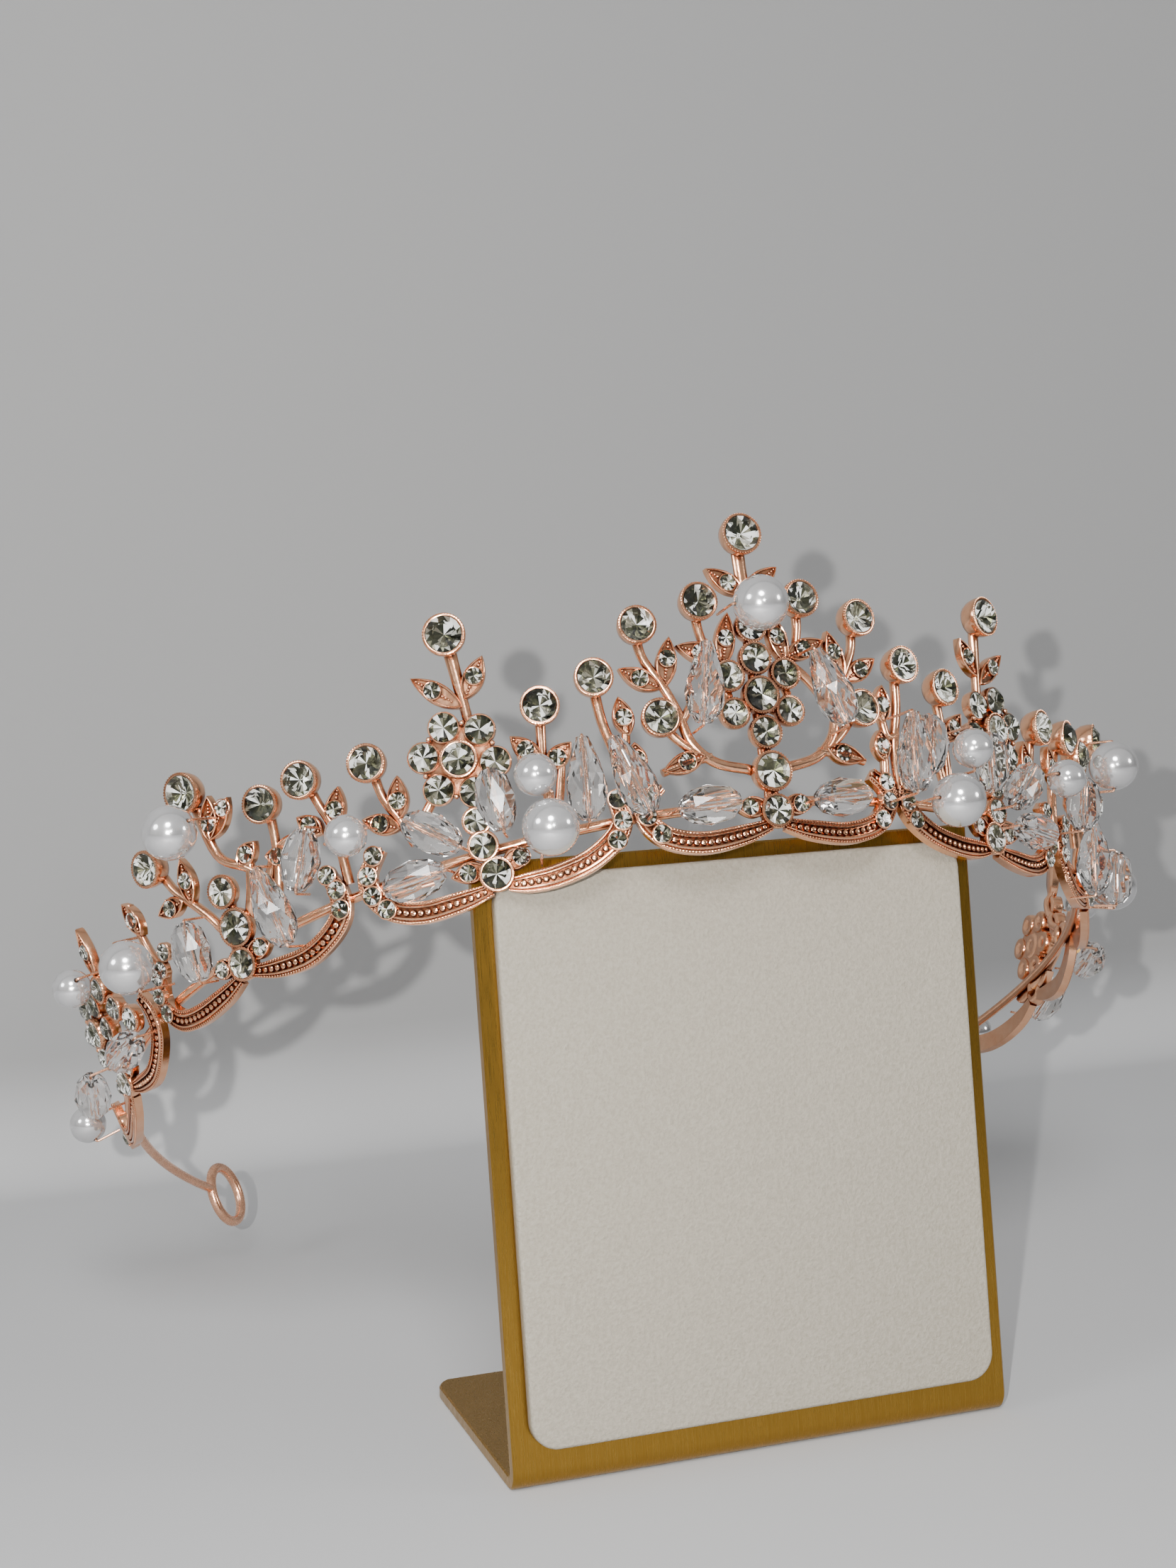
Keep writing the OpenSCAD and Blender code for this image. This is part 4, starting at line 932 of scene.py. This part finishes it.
# The stand's sheet, as stations along its middle line from the foot's rear edge to the panel's top: place,
# the sheet's upright there, and how much it is drawn in.
def standSheet():
    half, sheet, lip, corner = stand["width"] / 2, stand["sheet"] / 2, stand["edge"], stand["corner"]
    outer = stand["bend"] + stand["sheet"]
    bendY = outer * (1 + sin(lean)) / cos(lean)
    stations = [(stand["foot"], sheet, 0, -1, lip), (stand["foot"] - lip, sheet, 0, -1, 0)]
    for share in (0.15, 0.3, 0.5, 0.75, 1):  # round the foot's corners
        stations.append((stand["foot"] - max(share * corner, lip), sheet, 0, -1, 0))
    middle = stand["bend"] + sheet
    for a in np.linspace(-pi / 2, -pi - lean, 14):
        ny, nz = (cos(a), sin(a)) if a < -pi / 2 else (0, -1)
        stations.append((bendY + middle * cos(a), outer + middle * sin(a), ny, nz, 0))
    top = np.array([sin(lean), cos(lean)]) * stand["panel"] + np.array([cos(lean), -sin(lean)]) * sheet
    for below, shrink in ((20, 0), (lip, 0), (0, lip)):
        y, z = top - np.array([sin(lean), cos(lean)]) * below
        stations.append((y, z, -cos(lean), sin(lean), shrink))
    tray, rings = Tray(), []
    for y, z, ny, nz, shrink in stations:
        e = max(0, corner - (stand["foot"] - y)) if nz == -1 else 0  # how far into the foot's corner
        w = half - (corner - (corner ** 2 - e * e) ** 0.5) - shrink
        t = sheet - shrink
        edge = [(-w + lip, t), (w - lip, t), (w, t - lip), (w, -t + lip), (w - lip, -t), (-w + lip, -t),
                (-w, -t + lip), (-w, t - lip)]
        rings.append([[x * mm, (y + ny * k - footMid) * mm, (z + nz * k) * mm] for x, k in edge])
    addRings(tray, rings)
    tray.make("standSheet", ["brass"], "brass", ["stand"], 30)


# The pad: its margins on the panel, its corners, the gap behind it and its rounded front edge.
pad = {
    "side": 2.6, "top": 2.2, "bottom": 6.2, "thick": 2, "corner": 4, "gap": 0.06, "edge": 0.55,
    "backEdge": 0.1, "edgeFrom": 0.2, "edgeCuts": 6, "cornerCuts": 10,
}


def standPad():
    w, l, c = stand["width"] / 2 - pad["side"], stand["panel"] - pad["top"] - pad["bottom"], pad["corner"]
    tray, rings = Tray(), []
    layers = [(pad["backEdge"], pad["thick"]), (0, pad["thick"] - pad["backEdge"]), (0, pad["edge"])]
    layers += [(pad["edge"] * (1 - cos(a)), pad["edge"] * (1 - sin(a)))
               for a in np.linspace(pad["edgeFrom"], pi / 2, pad["edgeCuts"])]
    for inset, z in layers:
        r, y = c - inset, z - pad["gap"] - pad["thick"]
        edge = []
        for x, up, start in ((w - c, l - c, 0), (-w + c, l - c, 90), (-w + c, c, 180), (w - c, c, 270)):
            for a in np.radians(np.linspace(start, start + 90, pad["cornerCuts"])):
                edge.append((x + r * cos(a), y, up + r * sin(a) + pad["bottom"]))
        rings.append((np.array(edge) @ turnX(-lean).T - [0, footMid, 0]) * mm)
    addRings(tray, rings)
    piece = tray.make("standPad", ["ivory"], "pad", ["pad"], 60)


rim()
crestWork()
beadWork()
standSheet()
standPad()
for name in ("end_loop_left", "end_loop_right"):
    refinish(name, "wire")
print("pieces made")


# A plain pale floor that curves up into a grey backdrop, soft light from above and a small lamp in front.
studio = {
    "floor": (0.36, 0.364, 0.372), "wall": (0.235, 0.236, 0.237), "wallY": 0.168, "curve": 0.02, "half": 3.0,
    "height": 2.5, "near": -2.5, "aim": (0, 0, 0.09),
    # the light from above, by height, and a glow from the left
    "sky": 0.42, "rise": [(0, 0.12), (0.2, 0.3), (0.45, 0.9), (1, 1)],
    "glow": 0.7, "glowTint": (1, 0.98, 0.95, 1),
    "lamps": {  # place, width, power, colour
        "front": ((-0.165, -0.327, 0.16), 0.005, 2.4, (1, 0.98, 0.95)),
        "ceiling": ((-0.31, -0.95, 1.0), 0.42, 14, (1, 1, 1)),
        "near": ((-0.1, -0.75, 0.3), 0.09, 1, (1, 1, 1)),
        "left": ((-0.9, -0.25, 0.55), 0.3, 3, (0.97, 0.98, 1)),
        "right": ((0.85, -0.5, 0.4), 0.22, 2.2, (1, 0.98, 0.96))},
}


def sweepWall():
    s = studio
    line = [(s["near"], 0)] + [(s["wallY"] - s["curve"] * (1 - sin(t)), s["curve"] * (1 - cos(t)))
                               for t in np.linspace(0, pi / 2, 13)] + [(s["wallY"], s["height"])]
    far = [(s["wallY"] - s["curve"], 0), (-s["near"], 0)]  # the floor behind the wall, not joined to it
    points = [(x, y, z) for y, z in line + far for x in (-s["half"], s["half"])]
    faces = [(2 * i, 2 * i + 1, 2 * i + 3, 2 * i + 2) for i in range(len(line) + 1) if i != len(line) - 1]
    mesh = bpy.data.meshes.new("backdrop")
    mesh.from_pydata(points, [], faces)
    mesh.polygons.foreach_set("use_smooth", [True] * len(faces))
    material, tree, shader = finish("backdropPaint", {"Roughness": 0.9})
    place = node(tree, "ShaderNodeNewGeometry")
    split = node(tree, "ShaderNodeSeparateXYZ")
    tree.links.new(place.outputs["Position"], split.inputs["Vector"])
    height = node(tree, "ShaderNodeMapRange", {"From Min": 0.0, "From Max": 1.2 * s["curve"]})
    tree.links.new(split.outputs["Z"], height.inputs["Value"])
    tree.links.new(ramp(tree, height.outputs["Result"], [(0, s["floor"]), (1, s["wall"])]),
                   shader.inputs["Base Color"])
    # one-sided, so that it doesn't hide the piece from behind
    blend = node(tree, "ShaderNodeMixShader")
    tree.links.new(place.outputs["Backfacing"], blend.inputs["Fac"])
    tree.links.new(shader.outputs["BSDF"], blend.inputs[1])
    tree.links.new(node(tree, "ShaderNodeBsdfTransparent").outputs["BSDF"], blend.inputs[2])
    tree.links.new(blend.outputs["Shader"], tree.nodes["Material Output"].inputs["Surface"])
    mesh.materials.append(material)
    made = bpy.data.objects.new("backdrop", mesh)
    bpy.context.scene.collection.objects.link(made)


def studioLight():
    world = bpy.data.worlds.new("studio")
    bpy.context.scene.world = world
    world.use_nodes = True
    tree = world.node_tree
    back = tree.nodes["Background"]
    place = node(tree, "ShaderNodeTexCoord")
    split = node(tree, "ShaderNodeSeparateXYZ")
    tree.links.new(place.outputs["Generated"], split.inputs["Vector"])
    rise = ramp(tree, split.outputs["Z"], [(at, grey(value)) for at, value in studio["rise"]])
    glow = node(tree, "ShaderNodeMapRange", {"From Min": 0.1, "From Max": -0.9, "To Max": studio["glow"]})
    both = node(tree, "ShaderNodeMix", data_type="RGBA", blend_type="ADD")
    both.inputs["B"].default_value = studio["glowTint"]
    tree.links.new(split.outputs["X"], glow.inputs["Value"])
    tree.links.new(glow.outputs["Result"], both.inputs["Factor"])
    tree.links.new(rise, both.inputs["A"])
    tree.links.new(both.outputs["Result"], back.inputs["Color"])
    back.inputs["Strength"].default_value = studio["sky"]
    for name, (where, width, power, colour) in studio["lamps"].items():
        data = bpy.data.lights.new(name + "Lamp", "AREA")
        data.shape, data.size, data.energy, data.color = "DISK", width, power, colour
        made = bpy.data.objects.new(name + "Lamp", data)
        made.location = where
        made.rotation_euler = (Vector(studio["aim"]) - Vector(where)).to_track_quat("-Z", "Y").to_euler()
        bpy.context.scene.collection.objects.link(made)


sweepWall()
studioLight()
print("studio lit")
